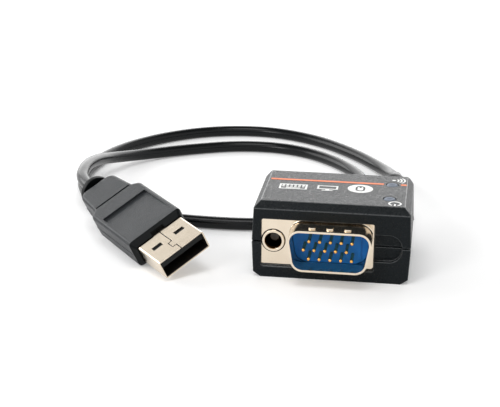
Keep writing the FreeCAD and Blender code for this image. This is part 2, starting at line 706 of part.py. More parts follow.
# The screw is turned in one piece: a threaded end, drawn as rings of thread, and a thinner shank that the
# retaining ring grips in front of the bulkhead.
SCREW_TIP = plus(FLANGE_FACE, "screw_tip_depth")
screw = new_body("jackscrew")
thread_radius = "screw_thread_diameter / 2"
root_radius = "screw_thread_diameter / 2 - screw_thread_depth"
screw_profile = [("0", "0"), (less(thread_radius, "screw_tip_chamfer"), "0")]
first_crest = "screw_tip_chamfer"
for ring in range(int(number("screw_thread_turns"))):
    crest = f"{first_crest} + {ring} * screw_thread_pitch"
    screw_profile.append((thread_radius, crest))
    screw_profile.append((root_radius, f"{crest} + screw_thread_pitch / 2"))
thread_end = f"{first_crest} + screw_thread_turns * screw_thread_pitch"
screw_end = less(plus(BACK, "knob_gap + knob_length / 2"), SCREW_TIP)
screw_profile += [
    (thread_radius, thread_end),
    (thread_radius, f"{thread_end} + screw_thread_pitch"),
    ("screw_shank_diameter / 2", f"{thread_end} + screw_thread_pitch"),
    ("screw_shank_diameter / 2", screw_end),
    ("0", screw_end),
]
turn(screw, "Revolution", screw_profile)
place(screw, "-screw_offset", SCREW_TIP, AXIS_HEIGHT)

retainer = new_body("screw_retainer")
extrude(retainer, "Pad", "XZ_Plane", "-ring_thickness", "0",
        ("0", "0", "ring_diameter"), ("0", "0", "screw_shank_diameter + 2 * ring_clearance"))
ring_gap = rectangle("-ring_gap_width / 2", "ring_gap_width / 2", "-ring_diameter", "0")
extrude(retainer, "Pocket", "XZ_Plane", "-ring_thickness", "0", ring_gap)
place(retainer, "-screw_offset", less(BULKHEAD_FACE, "ring_clearance"), AXIS_HEIGHT)

knob = new_body("jackscrew_knob")
extrude(knob, "Pad", "XZ_Plane", "0", "knob_length", ("0", "0", "knob_diameter"))
dress(knob, "Chamfer", "knob_edge_chamfer", lambda edge, middle: edge.BoundBox.YLength < 1e-4)
flute = extrude(knob, "Pocket", "XZ_Plane", "0", "knob_length",
                ("knob_diameter / 2", "0", "knob_flute_diameter"))
flutes = knob.newObject("PartDesign::PolarPattern", "knob_flutes")
flutes.Originals = [flute]
flutes.Axis = (flute.Profile[0], ["N_Axis"])
flutes.Angle = 360
flutes.setExpression("Occurrences", bound("knob_flute_count"))
knob.Tip = flutes
slot = rectangle("-knob_diameter", "knob_diameter", "-knob_slot_width / 2", "knob_slot_width / 2")
extrude(knob, "Pocket", "XZ_Plane", "knob_length", less("knob_length", "knob_slot_depth"), slot)
extrude(knob, "Pocket", "XZ_Plane", "0", "knob_length / 2",
        ("0", "0", "screw_shank_diameter + ring_clearance"))
place(knob, "-screw_offset", plus(BACK, "knob_gap"), AXIS_HEIGHT)

# ---- network jack -----------------------------------------------------------------------------------
def jack_frame(inset):
    """The jack's rectangle in back view, drawn in by an inset."""
    return rectangle(
        f"{JACK_MIDDLE} - ({JACK_HALF} - ({inset}))", f"{JACK_MIDDLE} + ({JACK_HALF} - ({inset}))",
        f"{AXIS_HEIGHT} - (jack_height / 2 - ({inset}))", f"{AXIS_HEIGHT} + (jack_height / 2 - ({inset}))",
    )


MOUTH_TOP = f"{AXIS_HEIGHT} + jack_height / 2 - jack_sheet - jack_mouth_drop - contact_sheet"
MOUTH_BOTTOM = f"{MOUTH_TOP} - jack_mouth_height"
MOUTH_END = less(BACK, "jack_mouth_depth")
jack_mouth = [
    (f"{JACK_MIDDLE} - jack_mouth_width / 2", MOUTH_TOP),
    (f"{JACK_MIDDLE} - jack_mouth_width / 2", MOUTH_BOTTOM),
    (f"{JACK_MIDDLE} - latch_width / 2", MOUTH_BOTTOM),
    (f"{JACK_MIDDLE} - latch_width / 2", f"{MOUTH_BOTTOM} - latch_height"),
    (f"{JACK_MIDDLE} - latch_notch_width / 2", f"{MOUTH_BOTTOM} - latch_height"),
    (f"{JACK_MIDDLE} - latch_notch_width / 2", f"{MOUTH_BOTTOM} - latch_height - latch_notch_height"),
    (f"{JACK_MIDDLE} + latch_notch_width / 2", f"{MOUTH_BOTTOM} - latch_height - latch_notch_height"),
    (f"{JACK_MIDDLE} + latch_notch_width / 2", f"{MOUTH_BOTTOM} - latch_height"),
    (f"{JACK_MIDDLE} + latch_width / 2", f"{MOUTH_BOTTOM} - latch_height"),
    (f"{JACK_MIDDLE} + latch_width / 2", MOUTH_BOTTOM),
    (f"{JACK_MIDDLE} + jack_mouth_width / 2", MOUTH_BOTTOM),
    (f"{JACK_MIDDLE} + jack_mouth_width / 2", MOUTH_TOP),
]
jack_shield = new_body("rj45_shield")
extrude(jack_shield, "Pad", "XZ_Plane", BACK, JACK_INNER_END, jack_frame("0"))
extrude(jack_shield, "Pocket", "XZ_Plane", less(BACK, "jack_sheet"), JACK_INNER_END,
        jack_frame("jack_sheet"))
extrude(jack_shield, "Pocket", "XZ_Plane", BACK, less(BACK, "jack_sheet"), jack_mouth)

jack_mould = new_body("rj45_housing")
extrude(jack_mould, "Pad", "XZ_Plane", less(BACK, "jack_sheet"), JACK_INNER_END,
        jack_frame("jack_sheet + jack_mould_clearance"))
extrude(jack_mould, "Pocket", "XZ_Plane", less(BACK, "jack_sheet"), MOUTH_END, jack_mouth)

# Each contact is a flat spring: it runs out along the roof of the mouth and folds back down into it.
for index in range(int(number("contact_count"))):
    contact = new_body(f"rj45_contact_{index + 1}")
    middle_x = f"{JACK_MIDDLE} + ({index} - (contact_count - 1) / 2) * contact_pitch"
    fold = plus(MOUTH_END, "contact_reach")
    profile = [
        (MOUTH_END, MOUTH_TOP),
        (MOUTH_END, less(MOUTH_TOP, "contact_sheet")),
        (less(fold, "4 * contact_sheet"), less(MOUTH_TOP, "contact_sheet")),
        (less(fold, "contact_return"), less(MOUTH_TOP, "contact_fall")),
        (less(fold, "contact_return - contact_sheet"), less(MOUTH_TOP, "contact_fall + contact_sheet")),
        (fold, less(MOUTH_TOP, "contact_sheet")),
        (fold, MOUTH_TOP),
    ]
    extrude(contact, "Pad", "YZ_Plane", f"{middle_x} - contact_width / 2",
            f"{middle_x} + contact_width / 2", profile)

# ---- boards, chips, lamps and light pipes -----------------------------------------------------------
plug_board = new_body("connector_board")
extrude(plug_board, "Pad", "XZ_Plane", PIN_END, PLUG_BOARD_BACK, rectangle(
    "-plug_board_width / 2", "plug_board_width / 2",
    less(AXIS_HEIGHT, "plug_board_height / 2"), plus(AXIS_HEIGHT, "plug_board_height / 2")))

main_board = new_body("main_board")
BOARD_RIGHT = less(INNER_HALF, "board_clearance")
BOARD_INNER_LEFT = f"{JACK_MIDDLE} + {JACK_HALF} + board_clearance"
BOARD_BACK = less(INNER_BACK, "boot_flange_thickness + board_clearance")
extrude(main_board, "Pad", "XY_Plane", "board_height", BOARD_TOP, [
    ("rear_shell_width / 2 + board_clearance", plus(INNER_FRONT, "board_clearance")),
    (BOARD_RIGHT, plus(INNER_FRONT, "board_clearance")),
    (BOARD_RIGHT, BOARD_BACK),
    (BOARD_INNER_LEFT, BOARD_BACK),
    (BOARD_INNER_LEFT, less(JACK_INNER_END, "board_clearance")),
    ("-rear_shell_width / 2", less(JACK_INNER_END, "board_clearance")),
    ("-rear_shell_width / 2", PLUG_BOARD_BACK),
    ("rear_shell_width / 2 + board_clearance", PLUG_BOARD_BACK),
])


def chip(label, x, y, width, depth, height):
    """A moulded chip or lamp package standing on the main board."""
    body = new_body(label)
    extrude(body, "Pad", "XY_Plane", BOARD_TOP, f"{BOARD_TOP} + {height}", rectangle(
        f"{x} - {width} / 2", f"{x} + {width} / 2", f"{y} - {depth} / 2", f"{y} + {depth} / 2"))


CHIP_COLUMN = f"({BOARD_INNER_LEFT} + {BOARD_RIGHT}) / 2"
chip("controller_chip", CHIP_COLUMN, "(power_lamp_y + status_lamp_y) / 2",
     "controller_width", "controller_width", "controller_height")
chip("driver_chip", f"({BOARD_INNER_LEFT} + driver_width / 2 + board_clearance)",
     "(status_lamp_y + lamp_width)", "driver_width", "lamp_width", "driver_height")
for name in ("power", "status"):
    chip(f"{name}_led", f"{name}_lamp_x", f"{name}_lamp_y", "lamp_width", "lamp_width", "lamp_height")
    light_pipe = new_body(f"{name}_light_pipe")
    sketch = sketch_on(light_pipe, "XZ_Plane")
    foot = f"{BOARD_TOP} + lamp_height + lamp_clearance"
    outline(sketch, [
        ("0", foot),
        ("light_pipe_stem_diameter / 2", foot),
        ("light_pipe_stem_diameter / 2", f"{CEILING} - light_pipe_collar_height"),
        ("light_pipe_collar_diameter / 2", f"{CEILING} - light_pipe_collar_height"),
        ("light_pipe_collar_diameter / 2", CEILING),
        ("light_pipe_diameter / 2", CEILING),
        ("light_pipe_diameter / 2", "housing_height - light_pipe_sink", "light_pipe_diameter / 8"),
        ("0", "housing_height - light_pipe_sink"),
    ])
    lens = light_pipe.newObject("PartDesign::Revolution", f"{name}_light_pipe_turned")
    lens.Profile = sketch
    lens.ReferenceAxis = (sketch, ["V_Axis"])
    lens.Angle = 360
    place(light_pipe, f"{name}_lamp_x", f"{name}_lamp_y", "0")


# ---- cable boot and strain reliefs ------------------------------------------------------------------
def ribs(start, end, rib_width, gap, radius_at, core):
    """Profile points of a ribbed sleeve: ribs from start to end with gaps down to the core."""
    count = int((number(end) - number(start) + number(gap)) / number(plus(rib_width, gap)))
    pitch = f"({less(end, start)} - ({rib_width})) / {count - 1}"
    points = []
    for rib in range(count):
        near = f"{start} + {rib} * {pitch}"
        far = f"{near} + {rib_width}"
        radius = radius_at(rib / (count - 1))
        points += [(core, near), (radius, near), (radius, far), (core, far)]
    return points


boot = new_body("cable_boot")
boot_ribs = ribs(
    "boot_collar + boot_rib_gap", "boot_length", "boot_rib_width", "boot_rib_gap",
    lambda share: f"(boot_rib_diameter + (boot_end_diameter - boot_rib_diameter) * {share}) / 2",
    "boot_core_diameter / 2",
)
turn(boot, "Revolution", [
    ("0", "-(wall_thickness + boot_flange_thickness)"),
    ("boot_flange_diameter / 2", "-(wall_thickness + boot_flange_thickness)"),
    ("boot_flange_diameter / 2", "-wall_thickness"),
    ("boot_neck_diameter / 2", "-wall_thickness"),
    ("boot_neck_diameter / 2", "0"),
    ("boot_rib_diameter / 2", "0"),
    ("boot_rib_diameter / 2", "boot_collar"),
    ("boot_core_diameter / 2", "boot_collar"),
] + boot_ribs[0:-1] + [("0", "boot_length")])
place(boot, BOOT_MIDDLE, BACK, SEAM_HEIGHT)

# ---- USB plug ---------------------------------------------------------------------------------------
usb_turn = (
    Rotation(Vector(0, 0, 1), number("usb_yaw"))
    * Rotation(Vector(1, 0, 0), number("usb_tail_rise"))
    * Rotation(Vector(0, 1, 0), -number("usb_roll"))
)
usb_place = Placement(Vector(number("usb_x"), number("usb_y"), number("usb_z")), usb_turn)


def usb_body(label):
    body = new_body(label)
    body.Placement = usb_place
    return body


SHELL_HALF = "usb_shell_width / 2"
SHELL_RISE = "usb_shell_height / 2"
SHELL_END = "usb_shell_reach + usb_shell_grip"
COLLAR_END = plus(SHELL_END, "usb_collar_web")
GRIP_FRONT = "usb_shell_reach + usb_nose_length"
GRIP_SHOULDER = plus(GRIP_FRONT, "grip_length")
GRIP_END = plus(GRIP_SHOULDER, "grip_tail_length")
CORE_END = less(GRIP_END, "grip_tail_radius")
RING_START = plus(GRIP_END, "relief_gap")
RING_END = plus(RING_START, "relief_ring_width")
RELIEF_END = plus(RING_END, "relief_tail")


def box_corners(half, rise, radius=None):
    return rectangle(f"-({half})", half, f"-({rise})", rise, radius)


usb_shell = usb_body("usb_shell")
extrude(usb_shell, "Pad", "XZ_Plane", "0", SHELL_END,
        box_corners(SHELL_HALF, SHELL_RISE, "usb_shell_radius"))
extrude(usb_shell, "Pocket", "XZ_Plane", "0", SHELL_END, box_corners(
    f"{SHELL_HALF} - usb_shell_sheet", f"{SHELL_RISE} - usb_shell_sheet",
    "usb_shell_radius - usb_shell_sheet"))
for side in ("", "-"):
    hole = rectangle(
        f"{side}usb_hole_spacing / 2 - usb_hole_width / 2",
        f"{side}usb_hole_spacing / 2 + usb_hole_width / 2",
        "usb_hole_setback", "usb_hole_setback + usb_hole_length",
    )
    extrude(usb_shell, "Pocket", "XY_Plane", SHELL_RISE, f"-({SHELL_RISE})", hole)
# The sheet's two edges meet in a stepped seam on top.
seam_slit = [
    ("0", "0"),
    ("usb_seam_width", "0"),
    ("usb_seam_width", "usb_seam_first"),
    ("-usb_seam_shift + usb_seam_width", "usb_seam_first"),
    ("-usb_seam_shift + usb_seam_width", "usb_seam_second - usb_seam_width"),
    ("usb_seam_width", "usb_seam_second - usb_seam_width"),
    ("usb_seam_width", SHELL_END),
    ("0", SHELL_END),
    ("0", "usb_seam_second"),
    ("-usb_seam_shift", "usb_seam_second"),
    ("-usb_seam_shift", "usb_seam_first - usb_seam_width"),
    ("0", "usb_seam_first - usb_seam_width"),
]
extrude(usb_shell, "Pocket", "XY_Plane", SHELL_RISE, f"{SHELL_RISE} - usb_shell_sheet", seam_slit)

TONGUE_TOP = f"{SHELL_RISE} - usb_shell_sheet - usb_fit"
TONGUE_BOTTOM = f"{TONGUE_TOP} - usb_tongue_thickness"
tongue = usb_body("usb_tongue")
extrude(tongue, "Pad", "XZ_Plane", "usb_tongue_setback", SHELL_END,
        rectangle("-usb_tongue_width / 2", "usb_tongue_width / 2", TONGUE_BOTTOM, TONGUE_TOP))
for index in range(4):
    contact = usb_body(f"usb_contact_{index + 1}")
    middle_x = f"({index} - 3 / 2) * usb_contact_pitch"
    extrude(contact, "Pad", "XY_Plane", TONGUE_BOTTOM, f"{TONGUE_BOTTOM} - usb_contact_sheet", rectangle(
        f"{middle_x} - usb_contact_width / 2", f"{middle_x} + usb_contact_width / 2",
        "2 * usb_tongue_setback", "2 * usb_tongue_setback + usb_contact_length"))

# The inner mould grips the shell in a tapered nose, runs through the grip as a flat core, and comes out of
# its tail as the round strain relief.
inner_mould = usb_body("usb_inner_mold")
nose_sketches = []
for level, half, rise in (
    ("usb_shell_reach", f"{SHELL_HALF} + usb_nose_front_rim", f"{SHELL_RISE} + usb_nose_front_rim"),
    (GRIP_FRONT, "grip_width / 2", "grip_height / 2"),
):
    sketch = sketch_on(inner_mould, "XZ_Plane", level)
    outline(sketch, box_corners(half, rise, "grip_edge_radius"))
    nose_sketches.append(sketch)
nose = inner_mould.newObject("PartDesign::AdditiveLoft", "usb_nose")
nose.Profile = nose_sketches[0]
nose.Sections = nose_sketches[1:]
nose.Ruled = True
extrude(inner_mould, "Pad", "XZ_Plane", GRIP_FRONT, COLLAR_END,
        box_corners(f"{SHELL_HALF} + usb_collar_wall", f"{SHELL_RISE} + usb_collar_wall"))
extrude(inner_mould, "Pad", "XZ_Plane", COLLAR_END, CORE_END,
        box_corners("usb_core_width / 2", "usb_core_height / 2"))
extrude(inner_mould, "Pocket", "XZ_Plane", "usb_shell_reach", SHELL_END,
        box_corners(f"{SHELL_HALF} + usb_fit", f"{SHELL_RISE} + usb_fit"))
notch = rectangle("-usb_nose_notch_width / 2", "usb_nose_notch_width / 2",
                  "usb_shell_reach", "usb_shell_reach + usb_nose_length / 2")
extrude(inner_mould, "Pocket", "XY_Plane", "grip_height / 2", SHELL_RISE, notch)
turn(inner_mould, "Revolution", [
    ("0", CORE_END),
    ("relief_core_diameter / 2", CORE_END),
    ("relief_core_diameter / 2", RING_START),
    ("relief_ring_diameter / 2", RING_START),
    ("relief_ring_diameter / 2", RING_END),
    ("relief_core_diameter / 2", RING_END),
    ("relief_core_diameter / 2", RELIEF_END),
    ("0", RELIEF_END),
])

grip = usb_body("usb_grip")
TAIL_RISE = "grip_height / 2"
grip_plan = mirrored([
    ("grip_width / 2", GRIP_FRONT),
    ("grip_width / 2", less(GRIP_SHOULDER, "grip_shoulder"), "grip_shoulder"),
    ("grip_tail_width / 2", GRIP_SHOULDER),
    ("grip_tail_end_width / 2", GRIP_END, "grip_tail_radius"),
])
extrude(grip, "Pad", "XY_Plane", f"-({TAIL_RISE})", TAIL_RISE, grip_plan)
belly = [
    (less(GRIP_SHOULDER, "grip_length * 0.8"), f"-({TAIL_RISE})"),
    (GRIP_END, f"-({TAIL_RISE} - grip_belly_rise)"),
    (GRIP_END, f"-({TAIL_RISE})"),
]
extrude(grip, "Pocket", "YZ_Plane", "-grip_width", "grip_width", belly)
grip_front = number(GRIP_FRONT)
grip_end = number(GRIP_END)
dress(grip, "Fillet", "grip_edge_radius", lambda edge, middle: (
    edge.BoundBox.ZLength < number("grip_belly_rise") * 1.01
    and middle.y > grip_front + 1e-3
    and abs(middle.x) > number("grip_tail_end_width") / 4))
thumb = [
    (plus(GRIP_FRONT, "thumb_setback"), TAIL_RISE),
    (plus(GRIP_FRONT, "thumb_setback + thumb_length"), f"{TAIL_RISE} - thumb_depth"),
    (plus(GRIP_FRONT, "thumb_setback + thumb_length"), TAIL_RISE),
]
extrude(grip, "Pocket", "YZ_Plane", "-thumb_width / 2", "thumb_width / 2", thumb)
groove = rectangle("-groove_length / 2", "groove_length / 2",
                   less(GRIP_SHOULDER, "groove_width"), GRIP_SHOULDER)
extrude(grip, "Pocket", "XY_Plane", TAIL_RISE, f"{TAIL_RISE} - groove_depth", groove)
extrude(grip, "Pocket", "XZ_Plane", GRIP_FRONT, CORE_END,
        box_corners("usb_core_width / 2 + usb_fit", "usb_core_height / 2 + usb_fit"))
extrude(grip, "Pocket", "XZ_Plane", CORE_END, GRIP_END,
        ("0", "0", "relief_core_diameter + 2 * usb_fit"))
extrude(grip, "Pocket", "XZ_Plane", GRIP_FRONT, plus(COLLAR_END, "usb_fit"), box_corners(
    f"{SHELL_HALF} + usb_collar_wall + usb_fit", f"{SHELL_RISE} + usb_collar_wall + usb_fit"))


# ---- cable ------------------------------------------------------------------------------------------
def rounded_path(points):
    """Straight runs joined by tangent arcs, each as large as its two runs allow."""
    edges = []
    radii = []
    here = points[0]
    for before, corner, after in zip(points, points[1:], points[2:]):
        back = before - corner
        ahead = after - corner
        turned = math.pi - back.getAngle(ahead)
        reach = 0.45 * min(back.Length, ahead.Length)
        radii.append(reach / math.tan(turned / 2))
        entry = corner + Vector(back).normalize() * reach
        leave = corner + Vector(ahead).normalize() * reach
        inward = (entry + leave) / 2 - corner
        crown = corner + Vector(inward).normalize() * radii[-1] * (1 / math.cos(turned / 2) - 1)
        edges.append(Part.LineSegment(here, entry).toShape())
        edges.append(Part.Arc(entry, crown, leave).toShape())
        here = leave
    edges.append(Part.LineSegment(here, points[-1]).toShape())
    return Part.Wire(edges), radii


boot_exit = Vector(number(BOOT_MIDDLE), number(BOOT_BACK), number(SEAM_HEIGHT))
boot_lead = boot_exit + Vector(0, number("boot_lead"), 0)
relief_exit = usb_place.multVec(Vector(0, number(RELIEF_END), 0))
relief_lead = usb_place.multVec(Vector(0, number(plus(RELIEF_END, "plug_lead")), 0))
middle_points = [Vector(*point) for point in CABLE_ROUTE]
route = [boot_exit, boot_lead] + middle_points + [relief_lead, relief_exit]
cable_path, cable_radii = rounded_path(route)
cable_start = Part.Circle(route[0], route[1] - route[0], number("cable_diameter / 2"))
cable_section = Part.Face(Part.Wire(cable_start.toShape()))
cable = doc.addObject("Part::Feature", "cable")
cable.Label = "cable"
cable.Shape = cable_path.makePipe(cable_section)
parts.append(cable)
print("cable length", round(cable_path.Length, 1), "smallest radius", round(min(cable_radii), 1))
print("radii", [round(radius) for radius in cable_radii])
print("runs", [round((b - a).Length, 1) for a, b in zip(route, route[1:])])
print("volume over section times length",
      round(cable.Shape.Volume / (cable_section.Area * cable_path.Length), 4))

# ---- checks and export ------------------------------------------------------------------------------
doc.recompute()
for thing in doc.Objects:
    if "Invalid" in thing.State or "Error" in thing.State:
        raise RuntimeError(f"{thing.Label} did not compute")
    if thing.TypeId in ("PartDesign::Pocket", "PartDesign::Groove"):
        before = thing.BaseFeature
        if before is not None and thing.Shape.Volume > before.Shape.Volume - 1e-6:
            print(thing.Label, "cuts nothing")
for piece in parts:
    if piece.Shape.isNull() or not piece.Shape.isValid():
        raise RuntimeError(f"{piece.Label} has no valid shape")
os.makedirs("parts", exist_ok=True)
for piece in parts:
    piece.Shape.exportStep(f"parts/{piece.Label}.step")
print(len(parts), "parts")
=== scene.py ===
import json
import math

import bmesh
import bpy
from mathutils import Matrix, Vector


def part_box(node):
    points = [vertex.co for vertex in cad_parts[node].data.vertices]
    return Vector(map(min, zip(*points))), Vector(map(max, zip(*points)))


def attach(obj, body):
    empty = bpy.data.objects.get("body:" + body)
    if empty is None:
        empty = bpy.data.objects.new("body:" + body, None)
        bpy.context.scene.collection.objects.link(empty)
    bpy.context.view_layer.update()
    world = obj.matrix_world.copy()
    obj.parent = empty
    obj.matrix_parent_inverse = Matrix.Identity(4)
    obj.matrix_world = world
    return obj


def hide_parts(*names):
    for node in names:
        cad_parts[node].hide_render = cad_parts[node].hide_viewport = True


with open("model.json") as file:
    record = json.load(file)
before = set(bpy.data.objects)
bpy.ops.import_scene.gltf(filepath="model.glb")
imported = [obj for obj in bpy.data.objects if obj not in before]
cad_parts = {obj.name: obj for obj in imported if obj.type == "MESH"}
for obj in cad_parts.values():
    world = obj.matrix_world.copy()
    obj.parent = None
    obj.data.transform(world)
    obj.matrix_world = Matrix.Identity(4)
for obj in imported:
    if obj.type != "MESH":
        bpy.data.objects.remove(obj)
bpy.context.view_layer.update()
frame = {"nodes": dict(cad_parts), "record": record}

MM = 0.001

# ---- camera ------------------------------------------------------------------------------------------
# The dongle is looked at from the video plug's side, a little from the right and from above, with a long
# lens. The camera stands turned and raised by these angles, and leans slightly.
camera_data = bpy.data.cameras.new("camera")
camera = bpy.data.objects.new("camera", camera_data)
bpy.context.scene.collection.objects.link(camera)
bpy.context.scene.camera = camera
camera_data.lens = 100
camera_data.sensor_width = 36
camera_data.clip_start = 0.01
camera_data.clip_end = 10
CAMERA_TURN, CAMERA_RISE, CAMERA_LEAN = math.radians(7.6865), math.radians(19.1626), math.radians(0.5746)
CAMERA_PLACE = (0.02007, -0.29091, 0.11460)
camera.matrix_world = (Matrix.Translation(CAMERA_PLACE) @ Matrix.Rotation(CAMERA_TURN, 4, "Z")
                       @ Matrix.Rotation(math.pi / 2 - CAMERA_RISE, 4, "X")
                       @ Matrix.Rotation(CAMERA_LEAN, 4, "Z"))


# ---- floor, backdrop light and lamps ---------------------------------------------------------------------
# A white sweep in a small studio: the floor stays white to the camera and keeps the dongle's shadow. A wide
# softbox stands low behind, one hangs overhead, one stands at the left and a small one at the front left.
def colour(hex_code):
    """An sRGB hex colour as the linear value that a socket takes."""
    channels = [int(hex_code[place:place + 2], 16) / 255 for place in (1, 3, 5)]
    linear = [c / 12.92 if c <= 0.04045 else ((c + 0.055) / 1.055) ** 2.4 for c in channels]
    return (*linear, 1.0)


def add_node(tree, kind, inputs=None, **settings):
    """A node with its settings; an input is a value, or another node's output to link."""
    made = tree.nodes.new(kind)
    for name, value in settings.items():
        setattr(made, name, value)
    for name, value in (inputs or {}).items():
        if isinstance(value, bpy.types.NodeSocket):
            tree.links.new(value, made.inputs[name])
        else:
            made.inputs[name].default_value = value
    return made


def seen_directly(tree):
    """1 for what the camera, a reflection or clear plastic shows, and 0 for light on the object."""
    path = add_node(tree, "ShaderNodeLightPath")
    camera_or_gloss = add_node(tree, "ShaderNodeMath", {0: path.outputs["Is Camera Ray"],
                               1: path.outputs["Is Glossy Ray"]}, operation="MAXIMUM")
    seen = add_node(tree, "ShaderNodeMath", {0: camera_or_gloss.outputs[0],
                    1: path.outputs["Is Transmission Ray"]}, operation="MAXIMUM")
    return seen.outputs[0]


FLOOR_REACH = 1.5
bm = bmesh.new()
bmesh.ops.create_grid(bm, x_segments=1, y_segments=1, size=FLOOR_REACH)
floor_mesh = bpy.data.meshes.new("floor")
bm.to_mesh(floor_mesh)
bm.free()
floor = bpy.data.objects.new("floor", floor_mesh)
bpy.context.scene.collection.objects.link(floor)

# The paper glows a little to the camera and in reflections, and more far out, beyond the lamps' reach.
FLOOR_GLOW, FAR_GLOW = 0.19, 0.65
GLOW_START, GLOW_FULL = 0.30, 0.80
floor_paper = bpy.data.materials.new("white_paper")
floor_paper.use_nodes = True
tree = floor_paper.node_tree
tree.nodes.clear()
reach = add_node(tree, "ShaderNodeVectorMath",
                 {0: add_node(tree, "ShaderNodeTexCoord").outputs["Object"]}, operation="LENGTH")
spread = add_node(tree, "ShaderNodeMapRange", {"Value": reach.outputs["Value"], "From Min": GLOW_START,
                  "From Max": GLOW_FULL, "To Min": FLOOR_GLOW, "To Max": FAR_GLOW})
lift = add_node(tree, "ShaderNodeMath", {0: seen_directly(tree), 1: spread.outputs["Result"]},
                operation="MULTIPLY")
paper = add_node(tree, "ShaderNodeBsdfDiffuse", {"Color": colour("#efefef")})
glow = add_node(tree, "ShaderNodeEmission", {"Color": colour("#ffffff"), "Strength": lift.outputs[0]})
both = add_node(tree, "ShaderNodeAddShader", {0: paper.outputs[0], 1: glow.outputs[0]})
add_node(tree, "ShaderNodeOutputMaterial", {"Surface": both.outputs[0]})
floor_mesh.materials.append(floor_paper)

# The backdrop is white up to nearly 40 degrees, and turns into a dark ceiling: these heights are the sines of
# the angles. The light that the backdrop gives the object is even, and is set apart as the ambient light.
AMBIENT = 0.4
CEILING = 0.12
BACKDROP_TOP, CEILING_EDGE = 0.62, 0.85
world = bpy.data.worlds.new("studio")
bpy.context.scene.world = world
world.use_nodes = True
tree = world.node_tree
tree.nodes.clear()
heading = add_node(tree, "ShaderNodeSeparateXYZ",
                   {0: add_node(tree, "ShaderNodeTexCoord").outputs["Generated"]})
backdrop = add_node(tree, "ShaderNodeMapRange", {"Value": heading.outputs["Z"], "From Min": BACKDROP_TOP,
                    "From Max": CEILING_EDGE, "To Min": 1.0, "To Max": CEILING},
                    interpolation_type="SMOOTHSTEP")
strength = add_node(tree, "ShaderNodeMix", {0: seen_directly(tree), 2: AMBIENT,
                    3: backdrop.outputs["Result"]}, data_type="FLOAT")
sky = add_node(tree, "ShaderNodeBackground", {"Color": colour("#ffffff"), "Strength": strength.outputs[0]})
add_node(tree, "ShaderNodeOutputWorld", {"Surface": sky.outputs[0]})
bpy.context.scene.view_settings.view_transform = "Standard"

LOOP_MIDDLE = Vector((-0.02, 0.03, 0.0))


def soft_lamp(name, place, width, height, brightness):
    """A rectangular softbox aimed at the cable's loop; a brightness of 1 is that of the white backdrop."""
    data = bpy.data.lights.new(name, "AREA")
    data.shape = "RECTANGLE"
    data.size = width
    data.size_y = height
    data.energy = brightness * math.pi * width * height
    lamp = bpy.data.objects.new(name, data)
    bpy.context.scene.collection.objects.link(lamp)
    lamp.location = place
    lamp.rotation_euler = (LOOP_MIDDLE - Vector(place)).to_track_quat("-Z", "Y").to_euler()


soft_lamp("back_lamp", (-0.10, 0.95, 0.36), 1.5, 0.70, 2.05)
soft_lamp("overhead_lamp", (-0.06, -0.25, 0.80), 0.45, 0.4, 4.4)
soft_lamp("left_lamp", (-0.85, 0.20, 0.30), 0.8, 0.5, 3.8)
soft_lamp("front_lamp", (-0.45, -0.65, 0.42), 0.3, 0.3, 7.0)

# ---- cable -----------------------------------------------------------------------------------------------
# A thin round lead of black PVC, extruded smooth and glossy. It leaves the boot, lies round the outside of
# the loop and in front of it, turns inside itself and rises over its own first turn to the USB plug.
CABLE_DIAMETER = 3.0 * MM
CABLE_ROUTE = [
    (11.8, 29.7, 8.05),
    (11.8, 36.0, 8.05),
    (12.0, 45.0, 6.0),
    (11.5, 55.0, 2.5),
    (7.5, 66.0, 1.5),
    (-1.0, 78.5, 1.5),
    (-12.5, 90.0, 1.5),
    (-27.5, 96.5, 1.5),
    (-44.5, 93.5, 1.5),
    (-58.5, 82.5, 1.5),
    (-67.8, 67.0, 1.5),
    (-70.4, 49.0, 1.5),
    (-65.5, 31.5, 1.5),
    (-53.5, 19.5, 1.5),
    (-36.5, 16.5, 1.5),
    (-18.5, 16.5, 1.5),
    (-3.0, 23.5, 1.5),
    (5.0, 37.0, 1.5),
    (4.5, 53.0, 1.5),
    (-3.5, 68.5, 1.5),
    (-16.5, 79.5, 1.5),
    (-32.0, 81.0, 1.5),
    (-47.0, 74.5, 1.5),
    (-58.0, 66.5, 1.8),
    (-64.0, 55.5, 4.0),
    (-65.6, 44.5, 6.8),
    (-65.8, 33.5, 8.3),
    (-64.08, 23.29, 8.0),
    (-59.19, 17.49, 7.64),
]
# Each point carries the lead's radius, so the bevel round the line is one unit deep.
cable_curve = bpy.data.curves.new("cable_lead", "CURVE")
cable_curve.dimensions = "3D"
cable_curve.bevel_depth = 1.0
cable_curve.bevel_resolution = 8
cable_curve.resolution_u = 16
cable_curve.use_fill_caps = True
cable_line = cable_curve.splines.new("NURBS")
cable_line.points.add(len(CABLE_ROUTE) - 1)
for point, (x, y, z) in zip(cable_line.points, CABLE_ROUTE):
    point.co = (x * MM, y * MM, z * MM, 1)
    point.radius = CABLE_DIAMETER / 2
cable_line.order_u = 3
cable_line.use_endpoint_u = True
cable_line.use_smooth = True
cable_lead = bpy.data.objects.new("cable_lead", cable_curve)
bpy.context.scene.collection.objects.link(cable_lead)
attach(cable_lead, "dongle")
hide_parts("cable")


def new_material(name, **surface):
    """A material with one Principled shader, with its node tree and the shader."""
    material = bpy.data.materials.new(name)
    material.use_nodes = True
    shader = material.node_tree.nodes["Principled BSDF"]
    for socket, value in surface.items():
        shader.inputs[socket.replace("_", " ")].default_value = value
    return material, material.node_tree, shader


